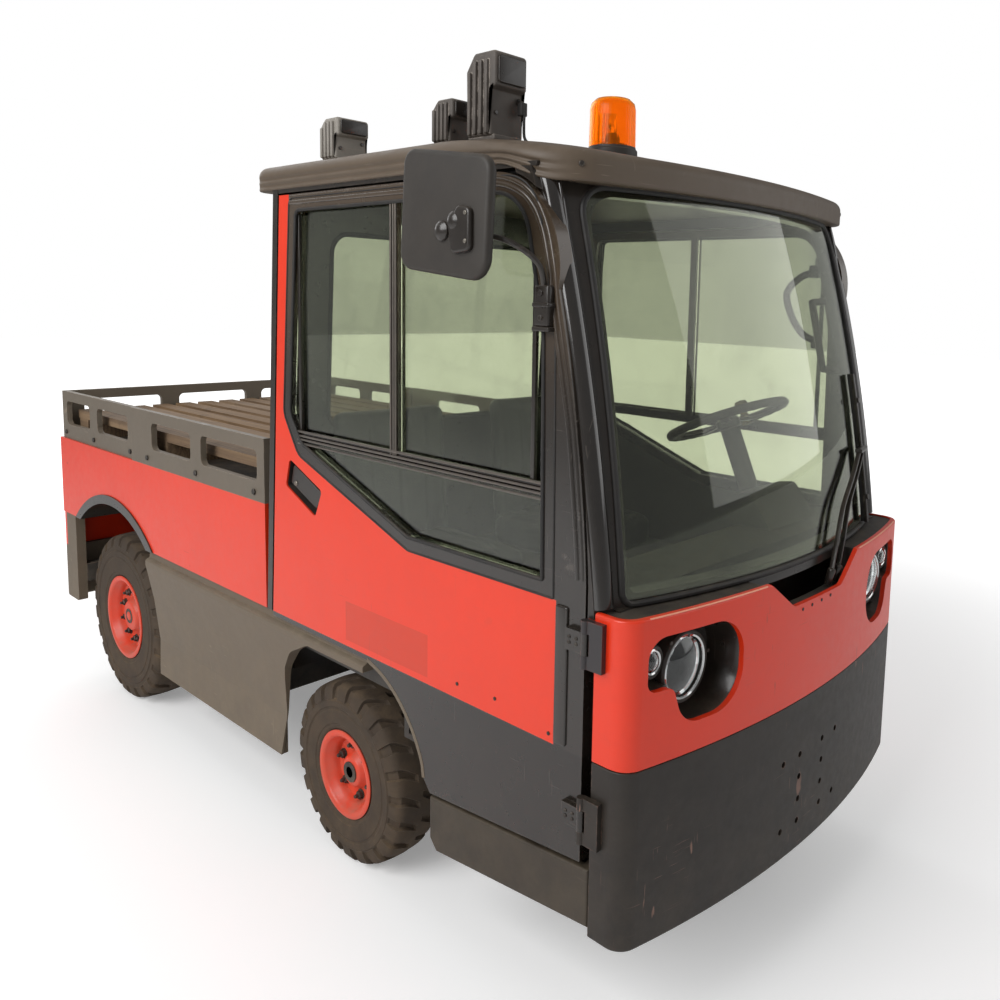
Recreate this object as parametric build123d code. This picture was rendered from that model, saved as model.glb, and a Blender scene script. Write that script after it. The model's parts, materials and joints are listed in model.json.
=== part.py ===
from build123d import *
import math
import os

# Frame: +Z up, ground at z = 0, the front faces -Y, width along X.
# The origin is on the ground under the middle of the whole vehicle.
# Distances called "behind the nose" are turned into Y by at().

# Overall sizes
FRONT_AXLE = 1180.0
WHEELBASE = 1590.0
REAR_OVERHANG = 480.0
COUPLING_REACH = 80.0
REAR_AXLE = FRONT_AXLE + WHEELBASE
BODY_LENGTH = REAR_AXLE + REAR_OVERHANG
TOTAL_LENGTH = BODY_LENGTH + COUPLING_REACH
HALF_WIDTH = 650.0
PANEL = 12.0
GAP = 6.0
SEAM = 0.3

# Wheels and axles
FRONT_TYRE_RADIUS = 270.0
FRONT_TYRE_WIDTH = 158.0
FRONT_RIM_RADIUS = 114.0
REAR_TYRE_RADIUS = 338.0
REAR_TYRE_WIDTH = 186.0
REAR_RIM_RADIUS = 152.0
RIM_FLANGE = 18.0
RIM_WALL = 7.0
WHEEL_FACE = HALF_WIDTH - 46
HUB_BORE = 30.0
HUB_RUN = 0.5
KINGPIN_X = HALF_WIDTH - 225
KINGPIN_RADIUS = 18.0
KINGPIN_FIST = 36.0

# Nose, bumper and sills
NOSE_BOW = 84.0
NOSE_CORNER = 52.0
NOSE_TOP = 1030.0
NOSE_LIP = 6.0
BUMPER_LIP = 9.0
NOSE_SIDE_END = 172.0
WAIST_LINE = 705.0
BUMPER_BOTTOM = 304.0
NOTCH_DEPTH = 75.0
NOTCH_TOP_HALF = 228.0
NOTCH_FLOOR_HALF = 121.0
SILL_BULGE = HALF_WIDTH + 5
FRONT_SILL_END = 716.0
STEP_INNER = HALF_WIDTH - 150
SILL_DEPTH = 60.0
LEDGE_FRONT = 1000.0
LEDGE_TOP = 686.0
LEDGE_BOTTOM = 652.0
SILL_ARCH = ((1283.0, 650.0), (1399.0, 594.0), (1457.0, 519.0), (1474.0, 373.0))
REAR_SILL_START = 1512.0
REAR_SILL_END = REAR_AXLE - 370
SILL_BOTTOM = 215.0
FENDER_RADIUS = 555.0
FENDER_LIP = 36.0
FENDER_CENTRE_Z = 300.0
FENDER_SHIFT = 50.0

# Lamps in the nose
LAMP_X = HALF_WIDTH - 196
LAMP_Z = 884.0
LAMP_OUTLINE = (  # x from the lamp's middle, z from its middle, corner radius, lean of the growth
    (143.0, 100.0, 48.0, (1.0, 1.0)),
    (-139.5, 100.0, 92.0, (-1.0, 1.0)),
    (-139.5, -109.0, 92.0, (-1.0, -1.0)),
    (44.0, -109.0, 65.0, (0.7, -1.0)),
    (74.0, -16.0, 22.0, (0.7, -1.0)),
    (143.0, -16.0, 24.0, (1.0, -1.0)),
)
MAIN_LENS_RADIUS = 76.0
SIDE_LENS_RADIUS = 31.0
SIDE_LENS_OFFSET = 107.0
SIDE_LENS_RISE = 38.0
LAMP_DEPTH = 70.0

# Cab
CAB_REAR = 1512.0
CAB_LEAN = 0.06
DOOR_FRONT = 200.0
DOOR_REAR = 1478.0
DOOR_TOP = 1940.0
DOOR_THICKNESS = 38.0
DOOR_BLACK_STRIP = 85.0
WINDOW_SILL = 1030.0
WINDOW_BAND = 34.0
WINDOW_TOP = 1912.0
TRANSOM_Z = 1260.0
MULLION_Y = 868.0
BAR = 26.0
GLASS = 5.0
MIRROR_INNER = HALF_WIDTH + 116
MIRROR_OUTER = HALF_WIDTH + 150
HINGE_X = HALF_WIDTH + 11
HINGE_Y = 190.0
HINGE_RADIUS = 9.0
HINGE_HEIGHT = 104.0
HINGE_KNUCKLE = 28.0
HINGE_PIN = 4.0
HINGE_LEVELS = (522.0, 910.0)
ROOF_LOWER = 1956.0
ROOF_TOP = 2026.0
ROOF_EDGE_ROUND = 34.0
ROOF_OVERHANG = 5.0
ROOF_REAR = 1535.0
CROWN_INSET = 62.0
CROWN_RISE = 12.0
SCREEN_BOTTOM = 1030.0
SCREEN_TOP = 1918.0
SCREEN_FOOT_Y = 56.0
SCREEN_HEAD_Y = 238.0
SCREEN_BELLY = 20.0
SCREEN_PLAN_RADIUS = 1800.0
SCREEN_HALF_WIDTH = HALF_WIDTH - 60
SCREEN_TAPER = 28.0
SCREEN_REBATE = 24.0
SCREEN_GLASS = 6.0
PILLAR_DEPTH = 46.0
ROOF_BAR = 44.0
COWL_LOWER = 945.0
COWL_EDGE = 4.0
COWL_PLATE = 20.0
FLOOR_FRONT = 190.0
FLOOR_THICKNESS = 16.0
SEAT_BASE_FRONT = 880.0
SEAT_BASE_BOTTOM = 606.0
SEAT_BASE_TOP = 790.0
CAB_INSIDE = HALF_WIDTH - 44
REAR_WALL = 26.0

# Load bed
DECK_TOP = 1030.0
DECK_PLATE = 14.0
RAIL_TOP = 1230.0
RAIL_PLATE = 20.0
RAIL_INSET = 7.0
RAIL_JOINT = REAR_AXLE - 270
BED_REAR = BODY_LENGTH - 22
BEARER_HEIGHT = 84.0
BEARER_WIDTH = 90.0
SLAT_THICKNESS = 34.0
SLAT_WIDTH = 66.0
SLAT_COUNT = 12
SLAT_FIELD = HALF_WIDTH - 56

# Chassis and battery
RAIL_X = 235.0
RAIL_WIDTH = 70.0
FRAME_BOTTOM = 400.0
FRAME_TOP = 496.0
MEMBER_STEP = 10.0
FRAME_FRONT = 120.0
BATTERY_FRONT = 1560.0
BATTERY_REAR = REAR_AXLE - 480
BATTERY_HALF = HALF_WIDTH - 65
BATTERY_TOP = 985.0

# Coupling at the rear
COUPLING_Z = 420.0
COUPLING_PIN_RADIUS = 15.0
COUPLING_HALF_WIDTH = 95.0
COUPLING_JAW = 70.0
COUPLING_PLATE = 24.0

SIDES = {"right": -1, "left": 1}


def at(behind_nose):
    """Y of a place given by its distance behind the nose."""
    return behind_nose - TOTAL_LENGTH / 2




def save(node, shape):
    """Write one node, as a compound when it has several solids."""
    solids = shape.solids()
    body = solids[0] if len(solids) == 1 else Compound(children=[s for s in solids])
    export_step(body, f"parts/{node}.step")


def box(x0, x1, y0, y1, z0, z1):
    """Box between two corners."""
    centre = ((x0 + x1) / 2, (y0 + y1) / 2, (z0 + z1) / 2)
    return Pos(*centre) * Box(abs(x1 - x0), abs(y1 - y0), abs(z1 - z0))


def rod(start, end, radius):
    """Round bar from one point to another."""
    path = Vector(*end) - Vector(*start)
    return Plane(origin=start, z_dir=path) * Cylinder(
        radius, path.length, align=(Align.CENTER, Align.CENTER, Align.MIN))


def side_face(points, rounds=None):
    """Closed outline in the side view from (behind nose, height) points.

    rounds gives a corner radius by the number of the point.
    """
    wire = Polyline(*[(at(y), z) for y, z in points], close=True)
    face = make_face(wire)
    for number, radius in (rounds or {}).items():
        y, z = points[number]
        corner = face.vertices().sort_by_distance((at(y), z, 0))[0]
        face = fillet(corner, radius)
    return face


def side_solid(face, x_inner, x_outer, side):
    """Extrude a side-view outline across X between two distances from the middle."""
    thickness = x_outer - x_inner
    solid = extrude(Plane.YZ.offset(x_inner) * face, thickness)
    return solid if side > 0 else mirror(solid, Plane.YZ)


def front_solid(face, y0, y1):
    """Extrude a front-view outline (x, z) from y0 back to y1."""
    plane = Plane(origin=(0, y0, 0), x_dir=(1, 0, 0), z_dir=(0, -1, 0))
    return extrude(plane * face, -(y1 - y0))


def both(make):
    """One shape for each side of the vehicle, as one group."""
    return [make(side) for side in SIDES.values()]


def group(shapes):
    """Group separate solids into one node."""
    return Compound(children=[s for shape in shapes for s in shape.solids()])


def nose_plan(inset, depth):
    """Plan of the bowed front, inset from the outer face, back to a depth."""
    half = HALF_WIDTH - inset
    corner = at(NOSE_BOW + inset)
    bow = ThreePointArc((-half, corner), (0, at(inset)), (half, corner))
    back = Polyline((half, corner), (half, at(depth)), (-half, at(depth)), (-half, corner))
    face = make_face([bow, *back.edges()])
    ends = face.vertices().filter_by(lambda v: abs(v.Y - corner) < 1)
    return fillet(ends, NOSE_CORNER - inset)


def nose_shell(bottom, top, low_round, top_round):
    """Hollow bowed shell of the nose between two heights, its outer rims rounded."""
    outer = Pos(0, 0, bottom) * extrude(nose_plan(0, NOSE_SIDE_END), top - bottom)
    for number, radius in ((0, low_round), (-1, top_round)):
        rim = outer.faces().sort_by(Axis.Z)[number].edges()
        outer = fillet(rim.filter_by(lambda e: e.center().Y < at(NOSE_SIDE_END) - 1), radius)
    inner = Pos(0, 0, bottom) * extrude(nose_plan(PANEL, NOSE_SIDE_END + PANEL), top - bottom)
    return outer - inner


def lamp_outline(side, grow=0.0):
    """Egg-shaped opening round the main and the side lamp, in the front view."""
    points = [(x + grow * lean[0], z + grow * lean[1]) for x, z, _, lean in LAMP_OUTLINE]
    face = make_face(Polyline(*points, close=True))
    for (x, z), (_, _, radius, _) in zip(points, LAMP_OUTLINE):
        corner = face.vertices().sort_by_distance((x, z, 0))[0]
        face = fillet(corner, radius)
    if side < 0:
        face = mirror(face, Plane.YZ)
    return Pos(side * LAMP_X, LAMP_Z) * face


def make_nose_panel():
    """Red front panel with the notch in its top edge and two lamp openings."""
    shell = nose_shell(WAIST_LINE + 2, NOSE_TOP, 2, NOSE_LIP)
    notch = make_face(Polyline(
        (-NOTCH_TOP_HALF, NOSE_TOP + 5), (NOTCH_TOP_HALF, NOSE_TOP + 5),
        (NOTCH_FLOOR_HALF, NOSE_TOP - NOTCH_DEPTH), (-NOTCH_FLOOR_HALF, NOSE_TOP - NOTCH_DEPTH),
        close=True))
    low = notch.vertices().filter_by(lambda v: v.Y < NOSE_TOP)
    notch = fillet(low, 30)
    shell -= front_solid(notch, at(-10), at(NOSE_BOW))
    for side in SIDES.values():
        shell -= front_solid(lamp_outline(side), at(-10), at(NOSE_BOW + 60))
    for half in make_hinge_halves(HINGE_LEVELS[1]):
        shell += half
    return shell


def make_hinge_halves(low):
    """Body halves of the door hinges at one level: leaf, two knuckles and the pin, both sides."""
    top = low + HINGE_HEIGHT
    halves = []
    for side in SIDES.values():
        axis_x = side * HINGE_X
        half = box(side * HALF_WIDTH, side * (HINGE_X + 3), at(HINGE_Y - 50), at(HINGE_Y - 14), low, top)
        for z0, z1 in ((low, low + HINGE_KNUCKLE), (top - HINGE_KNUCKLE, top)):
            half += box(side * HALF_WIDTH, side * (HINGE_X + 3), at(HINGE_Y - 14), at(HINGE_Y), z0, z1)
            half += rod((axis_x, at(HINGE_Y), z0), (axis_x, at(HINGE_Y), z1), HINGE_RADIUS)
        halves.append(half + rod((axis_x, at(HINGE_Y), low), (axis_x, at(HINGE_Y), top), HINGE_PIN))
    return halves


def make_front_bumper():
    """Heavy dark front plate with the bolt holes of a front coupling."""
    shell = nose_shell(BUMPER_BOTTOM, WAIST_LINE, BUMPER_LIP, 3)
    columns = (-134, -58, 58, 134)
    rows = (385, 443, 502, 560)
    for x in columns:
        for z in rows:
            outer = abs(x) > 100
            if outer and z in rows[1:3]:
                continue
            shell -= rod((x, at(-10), z), (x, at(60), z), 8)
    for half in make_hinge_halves(HINGE_LEVELS[0]):
        shell += half
    return shell


def lamp_depth_y(x):
    """Y of the nose's outer face at a distance from the middle."""
    radius = (HALF_WIDTH ** 2 + NOSE_BOW ** 2) / (2 * NOSE_BOW)
    return at(radius - math.sqrt(radius ** 2 - x ** 2))


def make_headlamp(side):
    """Lamp pod behind the nose opening, with a main and a side lens."""
    face_y = lamp_depth_y(LAMP_X)
    back_plate = front_solid(lamp_outline(side, 10), face_y + 48, face_y + 54)
    wall = front_solid(lamp_outline(side, 10) - lamp_outline(side, 2), face_y - 20, face_y + 48)
    inside = Pos(0, 0, WAIST_LINE) * extrude(nose_plan(PANEL + SEAM, NOSE_SIDE_END), NOSE_TOP - WAIST_LINE)
    main = rod((side * LAMP_X, face_y + 16, LAMP_Z), (side * LAMP_X, face_y + LAMP_DEPTH + 20, LAMP_Z),
               MAIN_LENS_RADIUS)
    small_x = side * (LAMP_X + SIDE_LENS_OFFSET)
    small_z = LAMP_Z + SIDE_LENS_RISE
    small = rod((small_x, face_y + 46, small_z), (small_x, face_y + LAMP_DEPTH, small_z), SIDE_LENS_RADIUS)
    return (back_plate + wall + main + small) & inside


def screen_y(height, distance=0.0):
    """Distance behind the nose of the screen's outer face on the middle line."""
    share = (height - SCREEN_BOTTOM) / (SCREEN_TOP - SCREEN_BOTTOM)
    straight = SCREEN_FOOT_Y + share * (SCREEN_HEAD_Y - SCREEN_FOOT_Y)
    return straight - 4 * SCREEN_BELLY * share * (1 - share) + distance


def screen_shell(outer, inner):
    """Curved slab that follows the windscreen from the cowl up to the roof.

    outer and inner are the distances of its faces behind the glass's outer face.
    """
    levels = (COWL_LOWER - COWL_PLATE, (COWL_LOWER - COWL_PLATE + ROOF_LOWER) / 2, ROOF_LOWER)
    front = [(at(screen_y(z, outer)), z) for z in levels]
    back = [(at(screen_y(z, inner)), z) for z in levels]
    outline = [ThreePointArc(*front), Line(front[2], back[2]),
               ThreePointArc(back[2], back[1], back[0]), Line(back[0], front[0])]
    axis = Axis((0, at(SCREEN_FOOT_Y + SCREEN_PLAN_RADIUS), 0), (0, 0, 1))
    section = Plane.YZ * make_face(outline)
    half_turn = 25.0
    section = section.rotate(axis, -half_turn)
    return revolve(section, axis, 2 * half_turn)


def screen_outline(inset):
    """Front view of the glass, inset all round."""
    half = SCREEN_HALF_WIDTH - inset
    points = [(-half, SCREEN_BOTTOM + inset), (half, SCREEN_BOTTOM + inset),
              (half - SCREEN_TAPER, SCREEN_TOP - inset), (-half + SCREEN_TAPER, SCREEN_TOP - inset)]
    face = make_face(Polyline(*points, close=True))
    top = face.vertices().filter_by(lambda v: v.Y > SCREEN_BOTTOM + 200)
    face = fillet(top, 70)
    low = face.vertices().filter_by(lambda v: v.Y < SCREEN_BOTTOM + 200)
    return fillet(low, 24)


def make_windscreen():
    """Curved front glass."""
    return screen_shell(0, SCREEN_GLASS) & front_solid(screen_outline(SEAM), at(-60), at(500))


def door_outline(grow=0.0):
    """Whole outline of the right or left door, in the side view."""
    front = DOOR_FRONT - grow
    rear = DOOR_REAR + grow
    top = DOOR_TOP + grow
    lean = CAB_LEAN * (top - WAIST_LINE)
    base_front = (front, 468 - grow)
    base_rear = (FRONT_SILL_END - 2 + grow, 420 - grow)
    arch_low = (FRONT_SILL_END + 24 + grow, 450)
    arch_mid = (792 + grow, 566 - grow)
    arch_top = (985, WAIST_LINE - 14 - grow)
    knee = (front, 1080)
    shoulder = (296 - grow, 1690)
    lines = [
        Line((at(base_front[0]), base_front[1]), (at(base_rear[0]), base_rear[1])),
        Line((at(base_rear[0]), base_rear[1]), (at(arch_low[0]), arch_low[1])),
        ThreePointArc((at(arch_low[0]), arch_low[1]), (at(arch_mid[0]), arch_mid[1]),
                      (at(arch_top[0]), arch_top[1])),
        Line((at(arch_top[0]), arch_top[1]), (at(rear), arch_top[1])),
        Line((at(rear), arch_top[1]), (at(rear), WAIST_LINE)),
        Line((at(rear), WAIST_LINE), (at(rear - lean), top)),
        Line((at(rear - lean), top), (at(480), top)),
        ThreePointArc((at(480), top), (at(352 - grow), 1876 + grow), (at(shoulder[0]), shoulder[1])),
        ThreePointArc((at(shoulder[0]), shoulder[1]), (at(233 - grow), 1390), (at(knee[0]), knee[1])),
        Line((at(knee[0]), knee[1]), (at(base_front[0]), base_front[1])),
    ]
    return make_face(lines)


def window_outline(inset):
    """Window of the door: flat sill at the front, rising towards the rear."""
    rear_low = 1398 - inset
    rear_top = 1352 - inset
    points = [(292 + inset, WINDOW_SILL + inset), (806, WINDOW_SILL + inset),
              (1322 - 0.6 * inset, 1206 + inset), (rear_low, 1320), (rear_top, WINDOW_TOP - inset + 20),
              (368 + inset, WINDOW_TOP - inset + 20), (300 + inset, 1600)]
    return side_face(points, {1: 50, 2: 60, 3: 60, 4: 22, 5: 110, 6: 300})


def make_door_panel(side):
    """Red skin of the door: everything behind the dark strip and below the window."""
    front = DOOR_FRONT + DOOR_BLACK_STRIP
    outline = side_face([(front, WAIST_LINE), (DOOR_REAR + 60, WAIST_LINE), (DOOR_REAR + 60, DOOR_TOP),
                         (1352, DOOR_TOP + 10), (1352, 1500), (front + 40, 1500), (front + 40, WINDOW_SILL),
                         (front, WINDOW_SILL)])
    skin = side_solid(outline, HALF_WIDTH - DOOR_THICKNESS, HALF_WIDTH, side)
    skin &= side_solid(door_outline(), HALF_WIDTH - DOOR_THICKNESS, HALF_WIDTH, side)
    skin -= side_solid(window_outline(0), 0, HALF_WIDTH + 10, side)
    # handle recess: a slanted pocket just below the waist of the window
    recess = side_face([(1200, 1120), (1370, 1190), (1392, 1108), (1236, 1040)],
                       {0: 12, 1: 12, 2: 12, 3: 12})
    skin -= side_solid(recess, HALF_WIDTH - 26, HALF_WIDTH + 10, side)
    keep = skin.solids().sort_by(SortBy.VOLUME)[-1]
    return keep


def make_door_frame(side):
    """Dark part of the door: lower panel, front strip, window frame, bars and hinge leaves."""
    inner, outer = HALF_WIDTH - DOOR_THICKNESS, HALF_WIDTH
    whole = side_solid(door_outline(), inner, outer, side)
    frame = whole - make_door_panel(side)
    frame -= side_solid(side_face([(1200, 1120), (1370, 1190), (1392, 1108), (1236, 1040)],
                                  {0: 12, 1: 12, 2: 12, 3: 12}), 0, HALF_WIDTH + 10, side)
    frame -= side_solid(window_outline(WINDOW_BAND), 0, HALF_WIDTH + 10, side)
    opening = side_solid(window_outline(WINDOW_BAND - 1), inner + 6, outer - 6, side)
    bars = box(side * (inner + 6), side * (outer - 6), at(200), at(1500),
               TRANSOM_Z - BAR / 2, TRANSOM_Z + BAR / 2)
    bars += box(side * (inner + 6), side * (outer - 6), at(MULLION_Y - BAR / 2), at(MULLION_Y + BAR / 2),
                TRANSOM_Z, DOOR_TOP)
    frame += bars & opening
    for low in HINGE_LEVELS:
        z0, z1 = low + HINGE_KNUCKLE + SEAM, low + HINGE_HEIGHT - HINGE_KNUCKLE - SEAM
        axis_x = side * HINGE_X
        frame += box(side * HALF_WIDTH, side * (HINGE_X + 3), at(HINGE_Y), at(DOOR_FRONT + 44), z0, z1)
        frame += rod((axis_x, at(HINGE_Y), z0), (axis_x, at(HINGE_Y), z1), HINGE_RADIUS)
        frame -= rod((axis_x, at(HINGE_Y), z0), (axis_x, at(HINGE_Y), z1), HINGE_PIN + SEAM)
    return frame.solids().sort_by(SortBy.VOLUME)[-1]


def make_door_glass(side):
    """Fixed lower pane and the two sliding panes above the transom."""
    middle = HALF_WIDTH - DOOR_THICKNESS / 2
    pane = side_solid(window_outline(WINDOW_BAND + SEAM), middle - GLASS / 2, middle + GLASS / 2, side)
    half = BAR / 2 + SEAM
    inner, outer = side * (HALF_WIDTH - DOOR_THICKNESS), side * HALF_WIDTH
    pane -= box(inner, outer, at(200), at(1500), TRANSOM_Z - half, TRANSOM_Z + half)
    pane -= box(inner, outer, at(MULLION_Y - half), at(MULLION_Y + half), TRANSOM_Z, DOOR_TOP)
    return pane


def make_door_handle(side):
    """Pull flap in the handle recess."""
    flap = side_face([(1214, 1110), (1362, 1172), (1378, 1118), (1244, 1062)],
                     {0: 8, 1: 8, 2: 8, 3: 8})
    return side_solid(flap, HALF_WIDTH - 26, HALF_WIDTH - 10, side)


def make_mirror_arm(side):
    """Bent tube that carries a mirror on the door's front frame."""
    x = side * (HALF_WIDTH + 4)
    foot = box(side * HALF_WIDTH, side * (HALF_WIDTH + 16), at(306), at(348), 1610, 1700)
    points = [(x + side * 6, at(327), 1668), (side * (HALF_WIDTH + 40), at(322), 1742),
              (side * (HALF_WIDTH + 85), at(366), 1786), (side * (MIRROR_INNER - 4), at(430), 1800)]
    arm = foot
    for start, end in zip(points, points[1:]):
        arm += rod(start, end, 7)
        arm += Pos(*end) * Sphere(7)
    return arm


def make_mirror_right():
    """Mirror folded flat along the door, with its arm and ball clamp."""
    arm = make_mirror_arm(-1)
    outline = side_face([(372, 1706), (640, 1736), (624, 1976), (358, 1940)], {0: 26, 1: 26, 2: 26, 3: 26})
    head = side_solid(outline, MIRROR_INNER, MIRROR_OUTER, -1)
    outer = head.faces().sort_by(Axis.X)[0]
    head = fillet(outer.edges(), 12)
    return arm + head


def make_mirror_left():
    """Arm on the far door: its mirror is missing, only the square clamp is there."""
    arm = make_mirror_arm(1)
    clamp = box(MIRROR_OUTER - 60, MIRROR_OUTER, at(398), at(462), 1768, 1832)
    return arm + fillet(clamp.edges().filter_by(Axis.X), 10)


def screen_point(x, height, proud=0.0):
    """A point in front of the screen's outer face, at a distance from the middle and a height."""
    middle = screen_y(height)
    radius = SCREEN_PLAN_RADIUS - (middle - SCREEN_FOOT_Y)
    sag = radius - math.sqrt(radius ** 2 - x ** 2)
    return (x, at(middle + sag - proud), height)


def make_cab_frame():
    """Windscreen frame with its two pillars, the roof bars over the doors and a grab handle."""
    bottom, top = NOSE_TOP - COWL_EDGE - COWL_PLATE, ROOF_LOWER
    reach = HALF_WIDTH - 1
    ring = screen_shell(0, PILLAR_DEPTH)
    ring &= box(-reach, reach, at(-60), at(700), bottom, top)
    ring -= front_solid(screen_outline(SCREEN_REBATE), at(-60), at(700))
    ring -= make_glass_seat()
    rear = CAB_REAR - CAB_LEAN * (ROOF_LOWER - WAIST_LINE) - REAR_WALL - SEAM
    inner = HALF_WIDTH - DOOR_THICKNESS - GAP
    for side in SIDES.values():
        ring += box(side * (inner - ROOF_BAR), side * inner, at(SCREEN_HEAD_Y + 90), at(rear),
                    ROOF_LOWER - 34, ROOF_LOWER)
        ring += box(side * inner, side * reach, at(SCREEN_HEAD_Y + 130), at(rear), DOOR_TOP + GAP, ROOF_LOWER)
        ring += box(side * (inner - ROOF_BAR), side * inner, at(FLOOR_FRONT - PILLAR_DEPTH), at(FLOOR_FRONT - SEAM),
                    FRAME_TOP - MEMBER_STEP + SEAM, SCREEN_BOTTOM)
        ring -= box(side * (HALF_WIDTH - PANEL - SEAM), side * HALF_WIDTH, at(0), at(NOSE_SIDE_END + SEAM),
                    bottom, NOSE_TOP + SEAM)
        ring -= side_solid(door_outline(GAP), inner, HALF_WIDTH + 10, side)
    near, far = SCREEN_HALF_WIDTH - 20, SCREEN_HALF_WIDTH - 70
    points = [screen_point(near, 1690, -30), screen_point(far, 1680, -90), screen_point(far, 1480, -90),
              screen_point(near, 1470, -30)]
    for start, end in zip(points, points[1:]):
        ring += rod(start, end, 11)
        ring += Pos(*end) * Sphere(11)
    return ring


def make_glass_seat():
    """Rebate that the windscreen lies in."""
    return screen_shell(-40, SCREEN_GLASS + SEAM) & front_solid(screen_outline(0), at(-60), at(500))


def roof_plan(inset):
    """Plan of the roof: bowed front edge, straight sides, round corners."""
    half = HALF_WIDTH + ROOF_OVERHANG - inset
    front_mid = SCREEN_HEAD_Y - 22 + inset
    front_side = front_mid + 96
    bow = ThreePointArc((-half, at(front_side)), (0, at(front_mid)), (half, at(front_side)))
    back = Polyline((half, at(front_side)), (half, at(ROOF_REAR - inset)),
                    (-half, at(ROOF_REAR - inset)), (-half, at(front_side)))
    face = make_face([bow, *back.edges()])
    corners = face.vertices().sort_by(Axis.Y)
    face = fillet(corners[:2], 110)
    corners = face.vertices().sort_by(Axis.Y)
    return fillet(corners[-2:], 40)


def make_roof():
    """Moulded roof shell with rounded edges and a raised crown."""
    roof = Pos(0, 0, ROOF_LOWER) * extrude(roof_plan(0), ROOF_TOP - ROOF_LOWER)
    top = roof.faces().sort_by(Axis.Z)[-1]
    roof = fillet(top.edges(), ROOF_EDGE_ROUND)
    crown = Pos(0, 0, ROOF_TOP - 2) * extrude(roof_plan(CROWN_INSET), CROWN_RISE + 2)
    crown = fillet(crown.faces().sort_by(Axis.Z)[-1].edges(), CROWN_RISE - 1)
    hollow = Pos(0, 0, ROOF_LOWER - 1) * extrude(roof_plan(52), 47)
    return roof + crown - hollow


def make_cowl():
    """Dark shelf between the nose panel and the windscreen, sunk where the wiper sits."""
    plan = nose_plan(PANEL + SEAM, NOSE_SIDE_END)
    sunk = box(-NOTCH_TOP_HALF, NOTCH_TOP_HALF, at(-20), at(400), COWL_LOWER, NOSE_TOP + 20)
    upper = Pos(0, 0, NOSE_TOP - COWL_EDGE - COWL_PLATE) * extrude(plan, COWL_PLATE) - sunk
    well = box(-NOTCH_TOP_HALF - 14, NOTCH_TOP_HALF + 14, at(-20), at(400), COWL_LOWER - 14, NOSE_TOP - COWL_EDGE)
    well &= Pos(0, 0, COWL_LOWER - 20) * extrude(plan, 200)
    cowl = upper + (well - sunk)
    inner = HALF_WIDTH - DOOR_THICKNESS - GAP
    for side in SIDES.values():
        cowl -= box(side * (inner - ROOF_BAR - SEAM), side * (inner + SEAM),
                    at(FLOOR_FRONT - PILLAR_DEPTH - SEAM), at(300), COWL_LOWER, NOSE_TOP + 20)
    return cowl - screen_shell(-SEAM, 400)


def rear_window_outline(inset):
    """Round-cornered window of the rear wall, in the front view."""
    half = HALF_WIDTH - 180 - inset
    low, high = 1250 + inset, 1850 - inset
    hole = make_face(Polyline((-half, low), (half, low), (half, high), (-half, high), close=True))
    return fillet(hole.vertices(), 60)


def make_cab_rear_wall():
    """Rear wall with a window, leaning forward with the rear edge of the doors."""
    def wall_points(front, rear):
        lean = CAB_LEAN * (ROOF_LOWER - WAIST_LINE)
        return [(front, WAIST_LINE), (rear, WAIST_LINE), (rear - lean, ROOF_LOWER), (front - lean, ROOF_LOWER)]
    outline = side_face(wall_points(CAB_REAR - REAR_WALL, CAB_REAR))
    wall = side_solid(outline, -HALF_WIDTH, HALF_WIDTH, 1)
    wall += box(-CAB_INSIDE + 26, CAB_INSIDE - 26, at(CAB_REAR - REAR_WALL), at(CAB_REAR),
                FRAME_TOP + SEAM, WAIST_LINE)
    return wall - front_solid(rear_window_outline(0), at(1300), at(1700))


def make_rear_window():
    """Pane in the rear wall."""
    lean = CAB_LEAN * (ROOF_LOWER - WAIST_LINE)
    middle = CAB_REAR - REAR_WALL / 2
    outline = side_face([(middle - GLASS / 2, WAIST_LINE), (middle + GLASS / 2, WAIST_LINE),
                         (middle + GLASS / 2 - lean, ROOF_LOWER), (middle - GLASS / 2 - lean, ROOF_LOWER)])
    slab = side_solid(outline, -HALF_WIDTH, HALF_WIDTH, 1)
    return slab & front_solid(rear_window_outline(SEAM), at(1300), at(1700))


def make_front_sill(side):
    """Entry step under the door, its lower edge rising to the front."""
    outline = side_face([(NOSE_SIDE_END + 4, 326), (FRONT_SILL_END - 26, 272), (FRONT_SILL_END, 300),
                         (FRONT_SILL_END, 410), (NOSE_SIDE_END + 4, 458)])
    step = side_solid(outline, STEP_INNER, HALF_WIDTH, side)
    tread = side_face([(NOSE_SIDE_END + 30, 430), (FRONT_SILL_END - 24, 384), (FRONT_SILL_END - 24, 480),
                       (NOSE_SIDE_END + 30, 480)])
    step = fillet(step.edges().filter_by(lambda e: abs(abs(e.center().X) - HALF_WIDTH) < 0.1), 6)
    return step - side_solid(tread, STEP_INNER + 20, HALF_WIDTH - 20, side)


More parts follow.
